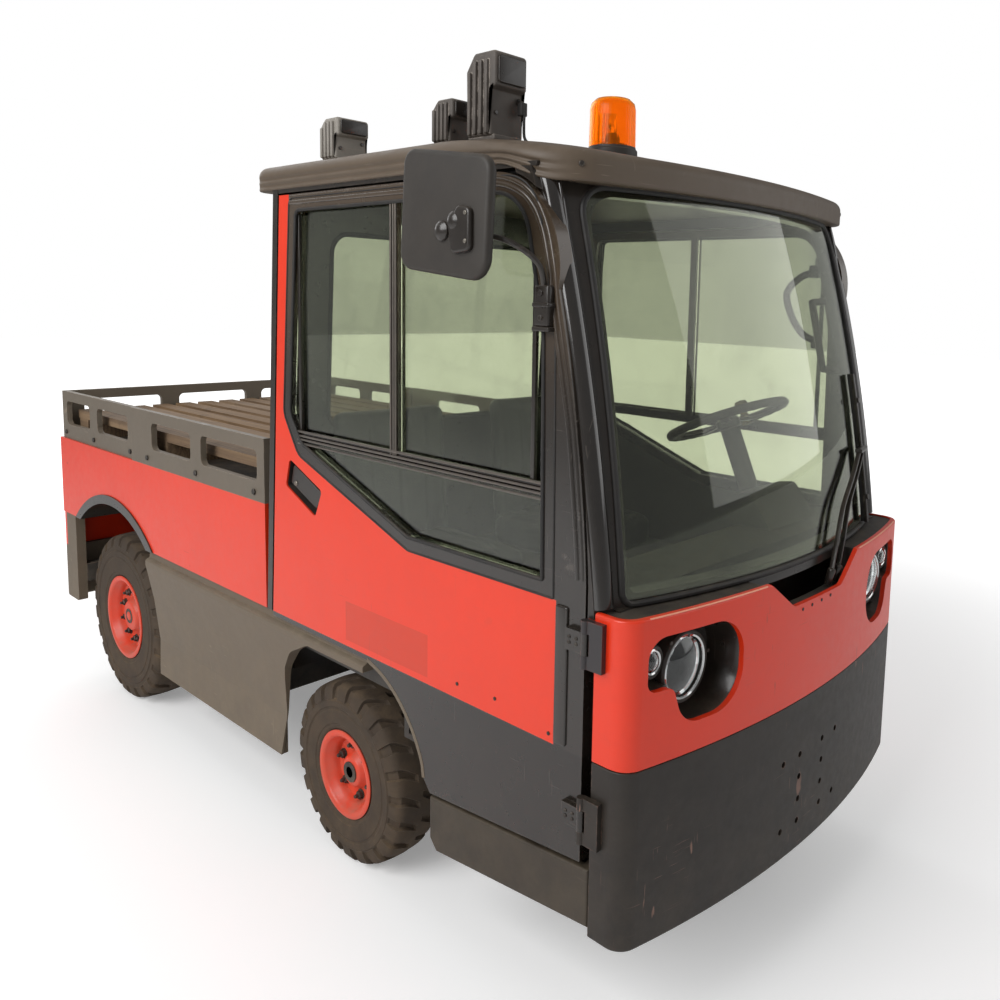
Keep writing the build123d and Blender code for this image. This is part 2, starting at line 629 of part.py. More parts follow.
def make_rear_sill(side):
    """Sill between the wheels; its ledge runs on under the door to the front wheel arch."""
    inner, top = HALF_WIDTH - SILL_DEPTH, WAIST_LINE - 6
    points = [(inner, top), (HALF_WIDTH - 14, top), (HALF_WIDTH - 10, 676), (SILL_BULGE, 668),
              (SILL_BULGE, 650), (HALF_WIDTH - 22, 510), (HALF_WIDTH - 40, 350),
              (HALF_WIDTH - 36, SILL_BOTTOM), (inner, SILL_BOTTOM)]
    face = make_face(Polyline(*points, close=True))
    for x, z in points[3:5]:
        face = fillet(face.vertices().sort_by_distance((x, z, 0))[0], 6)
    sill = front_solid(face, at(LEDGE_FRONT), at(REAR_SILL_END))
    low, high, end = SILL_BOTTOM - 5, top + 5, REAR_SILL_END + 5
    keep = side_face([(REAR_SILL_START, low), (end, low), (end, high), (DOOR_REAR + GAP, high),
                      (DOOR_REAR + GAP, LEDGE_TOP), (LEDGE_FRONT - 5, LEDGE_TOP),
                      (LEDGE_FRONT - 5, LEDGE_BOTTOM), *SILL_ARCH], {8: 90, 9: 90, 10: 300})
    sill &= side_solid(keep, inner - 5, SILL_BULGE + 5, 1)
    sill -= box(inner - 5, CAB_INSIDE + SEAM, at(LEDGE_FRONT - 5), at(CAB_REAR), SILL_BOTTOM - 5, high)
    return sill if side > 0 else mirror(sill, Plane.YZ)


def make_side_panel(side):
    """Red side of the load bed with the rear wheel arch cut out."""
    outline = side_face([(CAB_REAR + GAP, WAIST_LINE), (BODY_LENGTH - 20, WAIST_LINE),
                         (BODY_LENGTH - 20, DECK_TOP), (CAB_REAR + GAP, DECK_TOP)])
    panel = side_solid(outline, HALF_WIDTH - PANEL, HALF_WIDTH, side)
    return panel - fender_disc(side, HALF_WIDTH - 100, HALF_WIDTH + 100, FENDER_RADIUS)


def fender_disc(side, x_in, x_out, radius):
    """Disc about the middle of a rear wheel arch."""
    y = at(REAR_AXLE - FENDER_SHIFT)
    return rod((side * x_in, y, FENDER_CENTRE_Z), (side * x_out, y, FENDER_CENTRE_Z), radius)


def make_rear_fender(side):
    """Dark wheel arch over the rear wheel: a flared lip and the thin housing inside."""
    lip = fender_disc(side, HALF_WIDTH - PANEL - 14, SILL_BULGE, FENDER_RADIUS - SEAM)
    housing = fender_disc(side, HALF_WIDTH - 270, HALF_WIDTH - PANEL - 2, FENDER_RADIUS - FENDER_LIP + 6)
    inner, outer = HALF_WIDTH - 350, HALF_WIDTH + 50
    arch = lip + housing - fender_disc(side, inner, outer, FENDER_RADIUS - FENDER_LIP)
    return arch & box(side * inner, side * outer, at(REAR_AXLE - 770), at(BODY_LENGTH - 20 - SEAM),
                      WAIST_LINE, 1000)


def make_rear_panel():
    """Rear wall of the body: red upper panel with lamp pockets."""
    panel = box(-HALF_WIDTH, HALF_WIDTH, at(BODY_LENGTH - 20), at(BODY_LENGTH), WAIST_LINE, DECK_TOP)
    panel += box(-HALF_WIDTH + 4, HALF_WIDTH - 4, at(BODY_LENGTH - 20 + SEAM), at(BODY_LENGTH), 558 + SEAM, WAIST_LINE)
    return panel


def make_rear_bumper():
    """Dark steel beam across the rear with a skirt behind each wheel."""
    beam = box(-HALF_WIDTH + 4, HALF_WIDTH - 4, at(BODY_LENGTH - 40), at(BODY_LENGTH), 330, 558)
    for side in SIDES.values():
        beam += box(side * (HALF_WIDTH - 40), side * (HALF_WIDTH - 4), at(BODY_LENGTH - 122),
                    at(BODY_LENGTH - 20.0), 330, WAIST_LINE - SEAM)
    low = beam.edges().filter_by(Axis.X).group_by(Axis.Z)[0]
    return fillet(low, 10)


def make_tow_coupling():
    """Coupling jaw: three ears with a bore for a drop pin, on a back plate."""
    plate_y = at(BODY_LENGTH)
    end_y = at(TOTAL_LENGTH)
    plate = box(-COUPLING_HALF_WIDTH, COUPLING_HALF_WIDTH, plate_y, plate_y + COUPLING_PLATE,
                COUPLING_Z - 85, COUPLING_Z + 85)
    body = plate
    for level in (-1, 0, 1):
        z = COUPLING_Z + level * COUPLING_JAW
        ear = box(-55, 55, plate_y + 10, end_y, z - 10, z + 10)
        body += fillet(ear.edges().filter_by(Axis.Z).sort_by(Axis.Y)[-2:], 38)
    pin_y = end_y - 34
    body -= rod((0, pin_y, COUPLING_Z - 100), (0, pin_y, COUPLING_Z + 100), COUPLING_PIN_RADIUS)
    return body


def make_tail_lamp(side):
    """Round tail lamp pair on the rear panel."""
    y = at(BODY_LENGTH)
    outer, inner = side * (HALF_WIDTH - 110), side * (HALF_WIDTH - 220)
    return rod((outer, y, 760), (outer, y + 26, 760), 46) + rod((inner, y, 760), (inner, y + 26, 760), 46)


def make_load_deck():
    """Steel floor of the load bed."""
    return box(-HALF_WIDTH + PANEL + SEAM, HALF_WIDTH - PANEL - SEAM, at(CAB_REAR + GAP),
               at(BODY_LENGTH - 20 - SEAM), DECK_TOP - DECK_PLATE, DECK_TOP)


def make_deck_slats():
    """Timber deck: lengthwise boards on crosswise bearers."""
    front, rear = at(CAB_REAR + 34), at(BED_REAR - 34)
    deck = []
    for y in (front + 60, (front + rear) / 2, rear - 60):
        deck.append(box(-SLAT_FIELD, SLAT_FIELD, y - BEARER_WIDTH / 2, y + BEARER_WIDTH / 2,
                        DECK_TOP, DECK_TOP + BEARER_HEIGHT))
    pitch = (2 * SLAT_FIELD - SLAT_WIDTH) / (SLAT_COUNT - 1)
    for number in range(SLAT_COUNT):
        x = -SLAT_FIELD + number * pitch
        deck.append(box(x, x + SLAT_WIDTH, front, rear, DECK_TOP + BEARER_HEIGHT,
                        DECK_TOP + BEARER_HEIGHT + SLAT_THICKNESS))
    whole = deck[0]
    for piece in deck[1:]:
        whole += piece
    return whole


def rail_plate(start, end, windows):
    """Side-view outline of one guard rail section with its round-cornered windows."""
    plate = side_face([(start, DECK_TOP), (end, DECK_TOP), (end, RAIL_TOP), (start, RAIL_TOP)])
    for low, high in windows:
        plate -= side_face([(low, 1092), (high, 1092), (high, 1190), (low, 1190)],
                           {0: 22, 1: 22, 2: 22, 3: 22})
    return plate


def make_deck_rails():
    """Guard rails on both sides and across the rear of the load bed."""
    pieces = []
    for side in SIDES.values():
        front = rail_plate(CAB_REAR + GAP, RAIL_JOINT, [(CAB_REAR + 50, RAIL_JOINT - 564), (RAIL_JOINT - 488, RAIL_JOINT - 178)])
        back = rail_plate(RAIL_JOINT, BED_REAR, [(RAIL_JOINT + 50, RAIL_JOINT + 350), (RAIL_JOINT + 426, BED_REAR - 48)])
        rail = side_solid(front, HALF_WIDTH - RAIL_PLATE, HALF_WIDTH, side)
        rail += side_solid(back, HALF_WIDTH - RAIL_PLATE - RAIL_INSET, HALF_WIDTH - RAIL_INSET, side)
        pieces.append(rail)
    reach = HALF_WIDTH - RAIL_PLATE - RAIL_INSET + 1
    cross = make_face(Polyline((-reach, DECK_TOP), (reach, DECK_TOP), (reach, RAIL_TOP),
                               (-reach, RAIL_TOP), close=True))
    pitch, half = 0.62 * HALF_WIDTH, 0.25 * HALF_WIDTH
    for x in (-pitch, 0, pitch):
        hole = make_face(Polyline((x - half, 1092), (x + half, 1092), (x + half, 1190), (x - half, 1190),
                                  close=True))
        cross -= fillet(hole.vertices(), 22)
    rails = pieces[0] + pieces[1] + front_solid(cross, at(BED_REAR - RAIL_PLATE), at(BED_REAR))
    return rails


def make_chassis_frame():
    """Two long members, crosswise members and the outriggers that carry sills and nose."""
    front, rear = at(0), at(BODY_LENGTH - 40 - SEAM)
    frame = None
    for side in SIDES.values():
        member = box(side * (RAIL_X - RAIL_WIDTH / 2), side * (RAIL_X + RAIL_WIDTH / 2), front, rear,
                     FRAME_BOTTOM, FRAME_TOP)
        frame = member if frame is None else frame + member
    table = (  # behind nose, half length, half width
        (150, HALF_WIDTH - PANEL - SEAM, 26),
        (640, STEP_INNER - SEAM, 18),
        (860, RAIL_X, 26),
        (1545, HALF_WIDTH - SILL_DEPTH - SEAM, 18),
        (REAR_AXLE - 510, HALF_WIDTH - SILL_DEPTH - SEAM, 26),
        (BODY_LENGTH - 100, HALF_WIDTH - 40 - SEAM, 26),
    )
    for behind, reach, half in table:
        frame += box(-reach, reach, at(behind - half), at(behind + half),
                     FRAME_BOTTOM + MEMBER_STEP, FRAME_TOP - MEMBER_STEP)
    reach = HALF_WIDTH + 50
    outside = box(-reach, reach, at(-50), at(NOSE_SIDE_END), 300, 600)
    outside -= Pos(0, 0, 200) * extrude(nose_plan(PANEL + SEAM, NOSE_SIDE_END + 20), 500)
    return frame - outside


def make_front_axle():
    """Beam with a kingpin fist at each end and pads under the long members."""
    z = FRONT_TYRE_RADIUS
    y = at(FRONT_AXLE)
    beam = box(-KINGPIN_X, KINGPIN_X, y - 38, y + 38, z - 42, z + 42)
    for side in SIDES.values():
        x = side * KINGPIN_X
        beam += rod((x, y, z - 54), (x, y, z + 54), KINGPIN_FIST)
        beam += box(side * RAIL_X - 32, side * RAIL_X + 32, y - 60, y + 60, z + 30, FRAME_BOTTOM - SEAM)
    for side in SIDES.values():
        x = side * KINGPIN_X
        beam -= rod((x, y, z - 80), (x, y, z + 80), KINGPIN_RADIUS + SEAM)
    return beam


def make_knuckle(side):
    """Steered yoke: kingpin, two ears, back plate, stub axle and steering arm."""
    z = FRONT_TYRE_RADIUS
    y = at(FRONT_AXLE)
    x = side * KINGPIN_X
    plate_in = KINGPIN_X + KINGPIN_FIST + 8
    knuckle = rod((x, y, z - 86), (x, y, z + 86), KINGPIN_RADIUS)
    for low, high in ((z + 60, z + 84), (z - 84, z - 60)):
        knuckle += rod((x, y, low), (x, y, high), 34)
        knuckle += box(x, side * (plate_in + 14), y - 30, y + 30, low, high)
    knuckle += box(side * plate_in, side * (plate_in + 14), y - 40, y + 40, z - 84, z + 84)
    knuckle += rod((side * plate_in, y, z), (side * (WHEEL_FACE - 22), y, z), HUB_BORE)
    knuckle += rod((side * (plate_in + 6), y, z), (side * (plate_in + 24), y, z), 84)
    return knuckle


def wheel_profile(radius, rim_radius, width):
    """Half sections of a tyre and its rim, as (distance from outer face, radius) points."""
    flange = rim_radius + RIM_FLANGE
    shoulder = 0.16 * width
    tyre = [(12, rim_radius), (9, flange + 2), (0, (flange + radius) / 2), (10, radius - shoulder),
            (shoulder + 4, radius - 3), (width / 2, radius)]
    tyre += [(width - a, r) for a, r in reversed(tyre[:-1])]
    rim = [(14, rim_radius), (14, flange), (6, flange), (6, rim_radius - RIM_WALL + 2),
           (20, rim_radius - RIM_WALL)]
    return tyre, rim


def revolve_wheel(points, side, y, z):
    """Revolve (distance inwards from the wheel's outer face, radius) points about the axle."""
    edges = [(WHEEL_FACE - a, r) for a, r in points]
    face = make_face(Polyline(*edges, close=True))
    ring = revolve(face, Axis.X, 360)
    ring = Pos(0, y, z) * ring
    return ring if side > 0 else mirror(ring, Plane.YZ)


def make_tyre(side, y, radius, rim_radius, width):
    """Tyre out to the tips of its lugs."""
    tyre, _ = wheel_profile(radius, rim_radius, width)
    return revolve_wheel(tyre, side, y, radius)


def make_rim(side, y, radius, rim_radius, width, hub_length):
    """Disc wheel: flanged barrel, dished disc with hand holes and a hub sleeve."""
    r0 = rim_radius - SEAM
    wall = r0 - RIM_WALL
    flange = rim_radius + RIM_FLANGE - 2
    w = width
    dish = 34.0
    sleeve = HUB_BORE + 16
    points = [
        (9, r0), (9, flange), (3, flange), (3, wall), (dish, wall), (dish, sleeve + 24), (16, sleeve + 6),
        (16, HUB_BORE + HUB_RUN), (16 + hub_length, HUB_BORE + HUB_RUN), (16 + hub_length, sleeve),
        (dish + 10, sleeve + 12), (dish + 10, wall), (w - 3, wall), (w - 3, flange), (w - 9, flange),
        (w - 9, r0),
    ]
    rim = revolve_wheel(points, side, y, radius)
    x0, x1 = side * (WHEEL_FACE - dish + 6), side * (WHEEL_FACE - dish - 16)
    ring_radius = (wall + sleeve + 24) / 2
    for turn in range(8):
        angle = math.radians(turn * 45 + 22.5)
        cy, cz = y + ring_radius * math.cos(angle), radius + ring_radius * math.sin(angle)
        rim -= rod((x0, cy, cz), (x1, cy, cz), 8)
    return rim


def make_rear_axle():
    """Drive axle: tube, gear housing with its motor, and stub ends that carry the wheels."""
    z = REAR_TYRE_RADIUS
    y = at(REAR_AXLE)
    inner = WHEEL_FACE - REAR_TYRE_WIDTH
    axle = rod((-inner, y, z), (inner, y, z), 52)
    axle += rod((-WHEEL_FACE + 22, y, z), (WHEEL_FACE - 22, y, z), HUB_BORE)
    axle += rod((-70, y, z), (70, y, z), 118)
    axle += rod((0, y - 60, z), (0, y - 330, z + 10), 100)
    for side in SIDES.values():
        axle += rod((side * (inner - 16), y, z), (side * (inner + 30), y, z), 108)
        axle += box(side * RAIL_X - 32, side * RAIL_X + 32, y - 60, y + 60, z, FRAME_BOTTOM - SEAM)
    return axle


def make_battery_block():
    """Traction battery: one plain block under the load bed."""
    return box(-BATTERY_HALF, BATTERY_HALF, at(BATTERY_FRONT), at(BATTERY_REAR), FRAME_TOP + SEAM, BATTERY_TOP)


def make_cab_floor():
    """Floor plate with the toe board at its front."""
    bottom = FRAME_TOP + SEAM
    floor = box(-CAB_INSIDE, CAB_INSIDE, at(FLOOR_FRONT), at(SEAT_BASE_FRONT - 20 - SEAM), bottom,
                bottom + FLOOR_THICKNESS)
    toe = box(-CAB_INSIDE, CAB_INSIDE, at(FLOOR_FRONT), at(FLOOR_FRONT + 16), bottom, 700 - SEAM)
    return floor + toe


def make_seat_base():
    """Box over the front wheels that carries the seats, with a riser down to the frame."""
    bottom = FRAME_TOP + SEAM
    rear = CAB_REAR - REAR_WALL - CAB_LEAN * (SEAT_BASE_TOP - WAIST_LINE) - SEAM
    shell = box(-CAB_INSIDE, CAB_INSIDE, at(SEAT_BASE_FRONT), at(rear), SEAT_BASE_BOTTOM, SEAT_BASE_TOP)
    riser = box(-CAB_INSIDE, CAB_INSIDE, at(SEAT_BASE_FRONT - 20), at(SEAT_BASE_FRONT), bottom,
                SEAT_BASE_TOP)
    return shell + riser


def make_seat(x):
    """Cushion and backrest of one seat."""
    cushion = box(x - 230, x + 230, at(930), at(1370), SEAT_BASE_TOP + SEAM, SEAT_BASE_TOP + 120)
    cushion = fillet(cushion.edges(), 30)
    back = side_face([(1290, SEAT_BASE_TOP + 60), (1385, SEAT_BASE_TOP + 60), (1420, 1330), (1345, 1330)])
    rest = extrude(Plane.YZ.offset(x - 215) * back, 430)
    rest = fillet(rest.edges().filter_by(Axis.X), 26)
    return cushion + rest


def make_dashboard():
    """Dashboard across the cab under the windscreen, with an instrument hood."""
    outline = side_face([(190, 700), (330, 700), (400, 860), (430, 990), (380, 1030), (190, 1036)],
                        {2: 40, 3: 30, 4: 20})
    dash = side_solid(outline, -CAB_INSIDE + 4, CAB_INSIDE - 4, 1)
    dash -= screen_shell(-300, PILLAR_DEPTH + SEAM)
    hood = side_face([(250, 1010), (400, 1010), (410, 1120), (340, 1130)], {2: 20, 3: 20})
    dash += extrude(Plane.YZ.offset(200) * hood, 260)
    return dash - column_rod(COLUMN_RADIUS + SEAM)


COLUMN_FOOT = (330.0, 330.0, 900.0)
COLUMN_RADIUS = 30.0
WHEEL_CENTRE = (330.0, 512.0, 1315.0)


def column_rod(radius):
    """Straight rod from inside the dashboard up to the steering wheel's hub."""
    start = (COLUMN_FOOT[0], at(COLUMN_FOOT[1]), COLUMN_FOOT[2])
    end = Vector(WHEEL_CENTRE[0], at(WHEEL_CENTRE[1]), WHEEL_CENTRE[2])
    path = end - Vector(*start)
    stop = end - path.normalized() * (19 + SEAM)
    return rod(start, stop, radius)


def make_steering_column():
    """Column that carries the steering wheel."""
    return column_rod(COLUMN_RADIUS)


def make_steering_wheel():
    """Rim, three spokes and hub, square to the column."""
    start = Vector(COLUMN_FOOT[0], at(COLUMN_FOOT[1]), COLUMN_FOOT[2])
    end = Vector(WHEEL_CENTRE[0], at(WHEEL_CENTRE[1]), WHEEL_CENTRE[2])
    plane = Plane(origin=end, z_dir=end - start, x_dir=(1, 0, 0))
    wheel = Torus(182, 13) + Pos(0, 0, -8) * Cylinder(36, 22)
    for turn in (0, 120, 240):
        wheel += Rot(0, 0, turn + 30) * (Pos(92, 0, -4) * Box(176, 24, 8))
    return plane * wheel


def make_pedals():
    """Accelerator and brake, hung from the toe board."""
    pedals = []
    for x, wide in ((250, 70), (400, 60)):
        pad = box(x - wide / 2, x + wide / 2, at(300), at(312), 540, 640)
        arm = box(x - 8, x + 8, at(206 + SEAM), at(302), 588, 604)
        pedals.append(pad + arm)
    return group(pedals)


def make_beacon():
    """Amber beacon on its foot."""
    x, y, z = -190, at(560), ROOF_TOP + CROWN_RISE + SEAM
    foot = rod((x, y, z), (x, y, z + 18), 66)
    lens = rod((x, y, z + 18), (x, y, z + 150), 60)
    lens = fillet(lens.faces().sort_by(Axis.Z)[-1].edges(), 14)
    return foot + lens


def make_work_lamps():
    """Three tall black lamp housings on the right side of the roof."""
    table = (  # behind nose, height, depth, width
        (650, 196, 104, 118),
        (800, 110, 80, 100),
        (1290, 118, 90, 118),
    )
    lamps = []
    for behind, height, depth, width in table:
        x, y, z = -HALF_WIDTH + 140, at(behind), ROOF_TOP + CROWN_RISE + SEAM
        stand = box(x - 30, x + 30, y - 26, y + 26, z, z + 30)
        head = box(x - width / 2, x + width / 2, y - depth / 2, y + depth / 2, z + 26, z + height)
        head = fillet(head.edges().filter_by(Axis.X), 14)
        lamps.append(stand + head)
    return group(lamps)


def make_wiper():
    """Twin parallel arms from the sunk cowl, with a blade parked near the driver's pillar."""
    proud = 24
    wiper = None
    for x in (110, 156):
        base = screen_point(x, 985, proud)
        knee = screen_point(x + 108, 1138, proud)
        head = screen_point(x + 300, 1262, proud)
        arm = rod(base, knee, 6) + Pos(*knee) * Sphere(6) + rod(knee, head, 6)
        arm += rod((x, base[1], COWL_LOWER + SEAM), base, 11) + Pos(*base) * Sphere(11)
        wiper = arm if wiper is None else wiper + arm
    wiper += rod(screen_point(400, 1262, proud), screen_point(480, 1262, proud), 8)
    wiper += rod(screen_point(466, 1070, proud - 12), screen_point(466, 1450, proud - 10), 6)
    return wiper


def main():
    """Write every node of the vehicle."""
    os.makedirs("parts", exist_ok=True)
    save("chassis_frame", make_chassis_frame())
    save("front_bumper", make_front_bumper())
    save("nose_panel", make_nose_panel())
    save("headlamps", group(both(make_headlamp)))
    save("cowl", make_cowl())
    save("front_sills", group(both(make_front_sill)))
    save("rear_sills", group(both(make_rear_sill)))
    save("side_panels", group(both(make_side_panel)))
    save("rear_fenders", group(both(make_rear_fender)))
    save("rear_panel", make_rear_panel())
    save("rear_bumper", make_rear_bumper())
    save("tow_coupling", make_tow_coupling())
    save("tail_lamps", group(both(make_tail_lamp)))
    save("load_deck", make_load_deck())
    save("deck_slats", make_deck_slats())
    save("deck_rails", make_deck_rails())
    save("battery_block", make_battery_block())
    save("cab_frame", make_cab_frame())
    save("cab_rear_wall", make_cab_rear_wall())
    save("rear_window", make_rear_window())
    save("roof", make_roof())
    save("windscreen", make_windscreen())
    save("cab_floor", make_cab_floor())
    save("seat_base", make_seat_base())
    save("driver_seat", make_seat(330))
    save("passenger_seat", make_seat(-300))
    save("dashboard", make_dashboard())
    save("steering_column", make_steering_column())
    save("steering_wheel", make_steering_wheel())
    save("pedals", make_pedals())
    save("beacon", make_beacon())
    save("work_lamps", make_work_lamps())
    save("wiper", make_wiper())
    save("front_axle", make_front_axle())
    save("rear_axle", make_rear_axle())
    for name, side in SIDES.items():
        save(f"door_panel_{name}", make_door_panel(side))
        save(f"door_frame_{name}", make_door_frame(side))
        save(f"door_glass_{name}", make_door_glass(side))
        save(f"door_handle_{name}", make_door_handle(side))
        save(f"knuckle_{name}", make_knuckle(side))
        save(f"front_tyre_{name}", make_tyre(side, at(FRONT_AXLE), FRONT_TYRE_RADIUS, FRONT_RIM_RADIUS,
                                            FRONT_TYRE_WIDTH))
        save(f"front_rim_{name}", make_rim(side, at(FRONT_AXLE), FRONT_TYRE_RADIUS, FRONT_RIM_RADIUS,
                                           FRONT_TYRE_WIDTH, 66))
        save(f"rear_tyre_{name}", make_tyre(side, at(REAR_AXLE), REAR_TYRE_RADIUS, REAR_RIM_RADIUS,
                                            REAR_TYRE_WIDTH))
        save(f"rear_rim_{name}", make_rim(side, at(REAR_AXLE), REAR_TYRE_RADIUS, REAR_RIM_RADIUS,
                                          REAR_TYRE_WIDTH, 90))
    save("mirror_right", make_mirror_right())
    save("mirror_left", make_mirror_left())


main()
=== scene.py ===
"""Electric tow tractor: finishes and fine pieces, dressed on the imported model."""

import functools
import json
import logging
import math
import operator
from dataclasses import dataclass
from enum import Enum

import bmesh
import bpy
import numpy as np
from mathutils import Matrix

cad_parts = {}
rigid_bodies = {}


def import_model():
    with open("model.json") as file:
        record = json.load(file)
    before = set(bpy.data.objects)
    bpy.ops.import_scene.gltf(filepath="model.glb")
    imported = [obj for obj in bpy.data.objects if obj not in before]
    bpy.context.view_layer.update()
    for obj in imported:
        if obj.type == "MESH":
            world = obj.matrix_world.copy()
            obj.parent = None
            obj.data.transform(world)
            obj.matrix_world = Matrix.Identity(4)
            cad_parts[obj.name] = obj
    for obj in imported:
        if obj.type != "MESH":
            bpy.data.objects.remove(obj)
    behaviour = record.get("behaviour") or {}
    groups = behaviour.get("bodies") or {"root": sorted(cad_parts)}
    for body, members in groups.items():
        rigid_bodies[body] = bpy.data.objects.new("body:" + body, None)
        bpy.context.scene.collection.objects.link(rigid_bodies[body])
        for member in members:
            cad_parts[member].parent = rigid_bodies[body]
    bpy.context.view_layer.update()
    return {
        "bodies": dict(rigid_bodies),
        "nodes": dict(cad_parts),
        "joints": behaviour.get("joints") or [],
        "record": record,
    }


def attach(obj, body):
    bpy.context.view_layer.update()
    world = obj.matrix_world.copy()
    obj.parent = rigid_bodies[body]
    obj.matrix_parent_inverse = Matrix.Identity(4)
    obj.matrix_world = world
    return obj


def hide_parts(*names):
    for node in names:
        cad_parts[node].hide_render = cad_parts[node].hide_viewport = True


log = logging.getLogger("tow_tractor")

Sockets = dict[str, bpy.types.NodeSocket]
Point = tuple[float, float, float]

NOSE_Y = -1.665
HALF_WIDTH = 0.650
FRONT_AXLE = 1.180
REAR_AXLE = 2.770


class Side(Enum):
    """The two sides of the vehicle, as the sign of X."""

    RIGHT = -1
    LEFT = 1

    @property
    def word(self) -> str:
        """The side's name in lower case."""
        return self.name.lower()


def at(behind_nose: float) -> float:
    """Y of a distance behind the nose, in metres."""
    return behind_nose + NOSE_Y


# ---------------------------------------------------------------- shapes


@dataclass
class Shape:
    """Points and faces of one or more closed surfaces.

    Attributes:
        points: Corner places, one row each, in metres.
        faces: Lists of corner numbers.
    """

    points: np.ndarray
    faces: list[list[int]]

    def __add__(self, other: "Shape") -> "Shape":
        """Both shapes as one."""
        shift = len(self.points)
        moved = [[i + shift for i in face] for face in other.faces]
        return Shape(np.vstack([self.points, other.points]), self.faces + moved)

    def turned(self, matrix: np.ndarray, offset: Point = (0.0, 0.0, 0.0)) -> "Shape":
        """The shape with each point p carried to matrix p + offset."""
        return Shape(self.points @ np.asarray(matrix, float).T + np.asarray(offset, float), self.faces)

    def moved(self, x: float, y: float, z: float) -> "Shape":
        """The shape carried by (x, y, z)."""
        return Shape(self.points + np.array([x, y, z]), self.faces)

    def on_side(self, side: Side) -> "Shape":
        """The shape, drawn for the left side, carried to the named side by flipping X."""
        return Shape(self.points * np.array([side.value, 1.0, 1.0]), self.faces)

    def piece(self, name: str, finish: bpy.types.Material, body: str, slot: str,
              replaces: tuple[str, ...] = (), sharp: float = 35.0) -> bpy.types.Object:
        """Puts the shape into the scene as a finished piece.

        Args:
            name: The piece's name.
            finish: Its material.
            body: The body that it rides on.
            slot: The record's material slot; not used.
            replaces: Model nodes that it stands for.
            sharp: Edges that turn by more degrees than this stay crisp.

        Returns:
            The new object, its normals outward.
        """
        mesh = bpy.data.meshes.new(name)
        mesh.from_pydata(self.points.tolist(), [], self.faces)
        work = bmesh.new()
        work.from_mesh(mesh)
        bmesh.ops.remove_doubles(work, verts=work.verts, dist=2e-6)
        bmesh.ops.dissolve_degenerate(work, edges=work.edges, dist=1e-6)
        bmesh.ops.recalc_face_normals(work, faces=work.faces)
        work.to_mesh(mesh)
        work.free()
        mesh.shade_smooth()
        mesh.set_sharp_from_angle(angle=math.radians(sharp))
        mesh.materials.append(finish)
        obj = bpy.data.objects.new(name, mesh)
        bpy.context.scene.collection.objects.link(obj)
        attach(obj, body)
        if replaces:
            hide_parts(*replaces)
        log.info("%s: %d faces on %s", name, len(mesh.polygons), body)
        return obj


def together(shapes: list[Shape]) -> Shape:
    """The shapes joined in order as one."""
    return functools.reduce(operator.add, shapes)


def skin(grid: np.ndarray, wrap_rows: bool = False, caps: bool = True) -> Shape:
    """Closed surface over a grid of points whose columns wrap round.

    Cell (i, j) joins points (i, j), (i, j+1), (i+1, j+1), (i+1, j), with j+1 counted round the columns.

    Args:
        grid: Points by row and column, shape (rows, columns, 3).
        wrap_rows: Whether the last row joins the first.
        caps: Whether the first and last rows are closed with one face each.

    Returns:
        The shape.
    """
    rows, cols = grid.shape[:2]
    i = np.arange(rows if wrap_rows else rows - 1)[:, None]
    j = np.arange(cols)[None, :]
    below, right = (i + 1) % rows, (j + 1) % cols
    quads = np.stack([i * cols + j, i * cols + right, below * cols + right, below * cols + j], -1)
    faces = quads.reshape(-1, 4).tolist()
    if caps and not wrap_rows:
        faces.append(list(range(cols))[::-1])
        faces.append([(rows - 1) * cols + k for k in range(cols)])
    return Shape(grid.reshape(-1, 3), faces)


def axes(along: Point, up: Point = (0.0, 0.0, 1.0)) -> np.ndarray:
    """Right-handed unit axes whose third row follows a direction.

    Args:
        along: The direction.
        up: A second direction that fixes the turn about the first.

    Returns:
        Rows across, up and along, as a 3 x 3 array.
    """
    third = np.asarray(along, float) / np.linalg.norm(along)
    ref = np.asarray(up, float)
    if abs(ref @ third) > 0.95:
        ref = np.array([0.0, 1.0, 0.0]) if abs(third[1]) < 0.9 else np.array([1.0, 0.0, 0.0])
    first = np.cross(ref, third)
    first /= np.linalg.norm(first)
    return np.stack([first, np.cross(third, first), third])


def lathe(profile: list[tuple[float, float]], centre: Point, along: Point, turns: int = 48,
          lobes: tuple[int, float] = (0, 0.0)) -> Shape:
    """Surface of revolution: point = centre + s * axis + r (cos t * across + sin t * up).

    Args:
        profile: Pairs of (distance s along the axis, radius r).
        centre: Where s is zero.
        along: The axis.
        turns: Points round each ring.
        lobes: Count and height of ribs round it, added to r as height * cos(count * t).

    Returns:
        The closed surface.
    """
    s, r = np.asarray(profile, float).T
    t = np.linspace(0, 2 * np.pi, turns, endpoint=False)
    radius = r[:, None] + lobes[1] * np.cos(lobes[0] * t)[None, :] * (r[:, None] > abs(lobes[1]) * 2)
    a = axes(along)
    grid = (np.asarray(centre, float) + s[:, None, None] * a[2]
            + radius[..., None] * (np.cos(t)[None, :, None] * a[0] + np.sin(t)[None, :, None] * a[1]))
    return skin(grid)


def curve_through(points: list[Point], samples: int = 8) -> np.ndarray:
    """Smooth line through points: on each span the cubic that leaves each point along its neighbours' chord.

    Args:
        points: The points.
        samples: Places on each span.

    Returns:
        Places along the line, shape (n, 3).
    """
    p = np.asarray(points, float)
    p = np.vstack([2 * p[0] - p[1], p, 2 * p[-1] - p[-2]])
    u = np.linspace(0, 1, samples, endpoint=False)[None, :, None]
    a, b, c, d = (p[k:len(p) - 3 + k][:, None, :] for k in range(4))
    line = 0.5 * (2 * b + (c - a) * u + (2 * a - 5 * b + 4 * c - d) * u ** 2
                  + (3 * b - 3 * c + d - a) * u ** 3)
    return np.vstack([line.reshape(-1, 3), p[-2]])


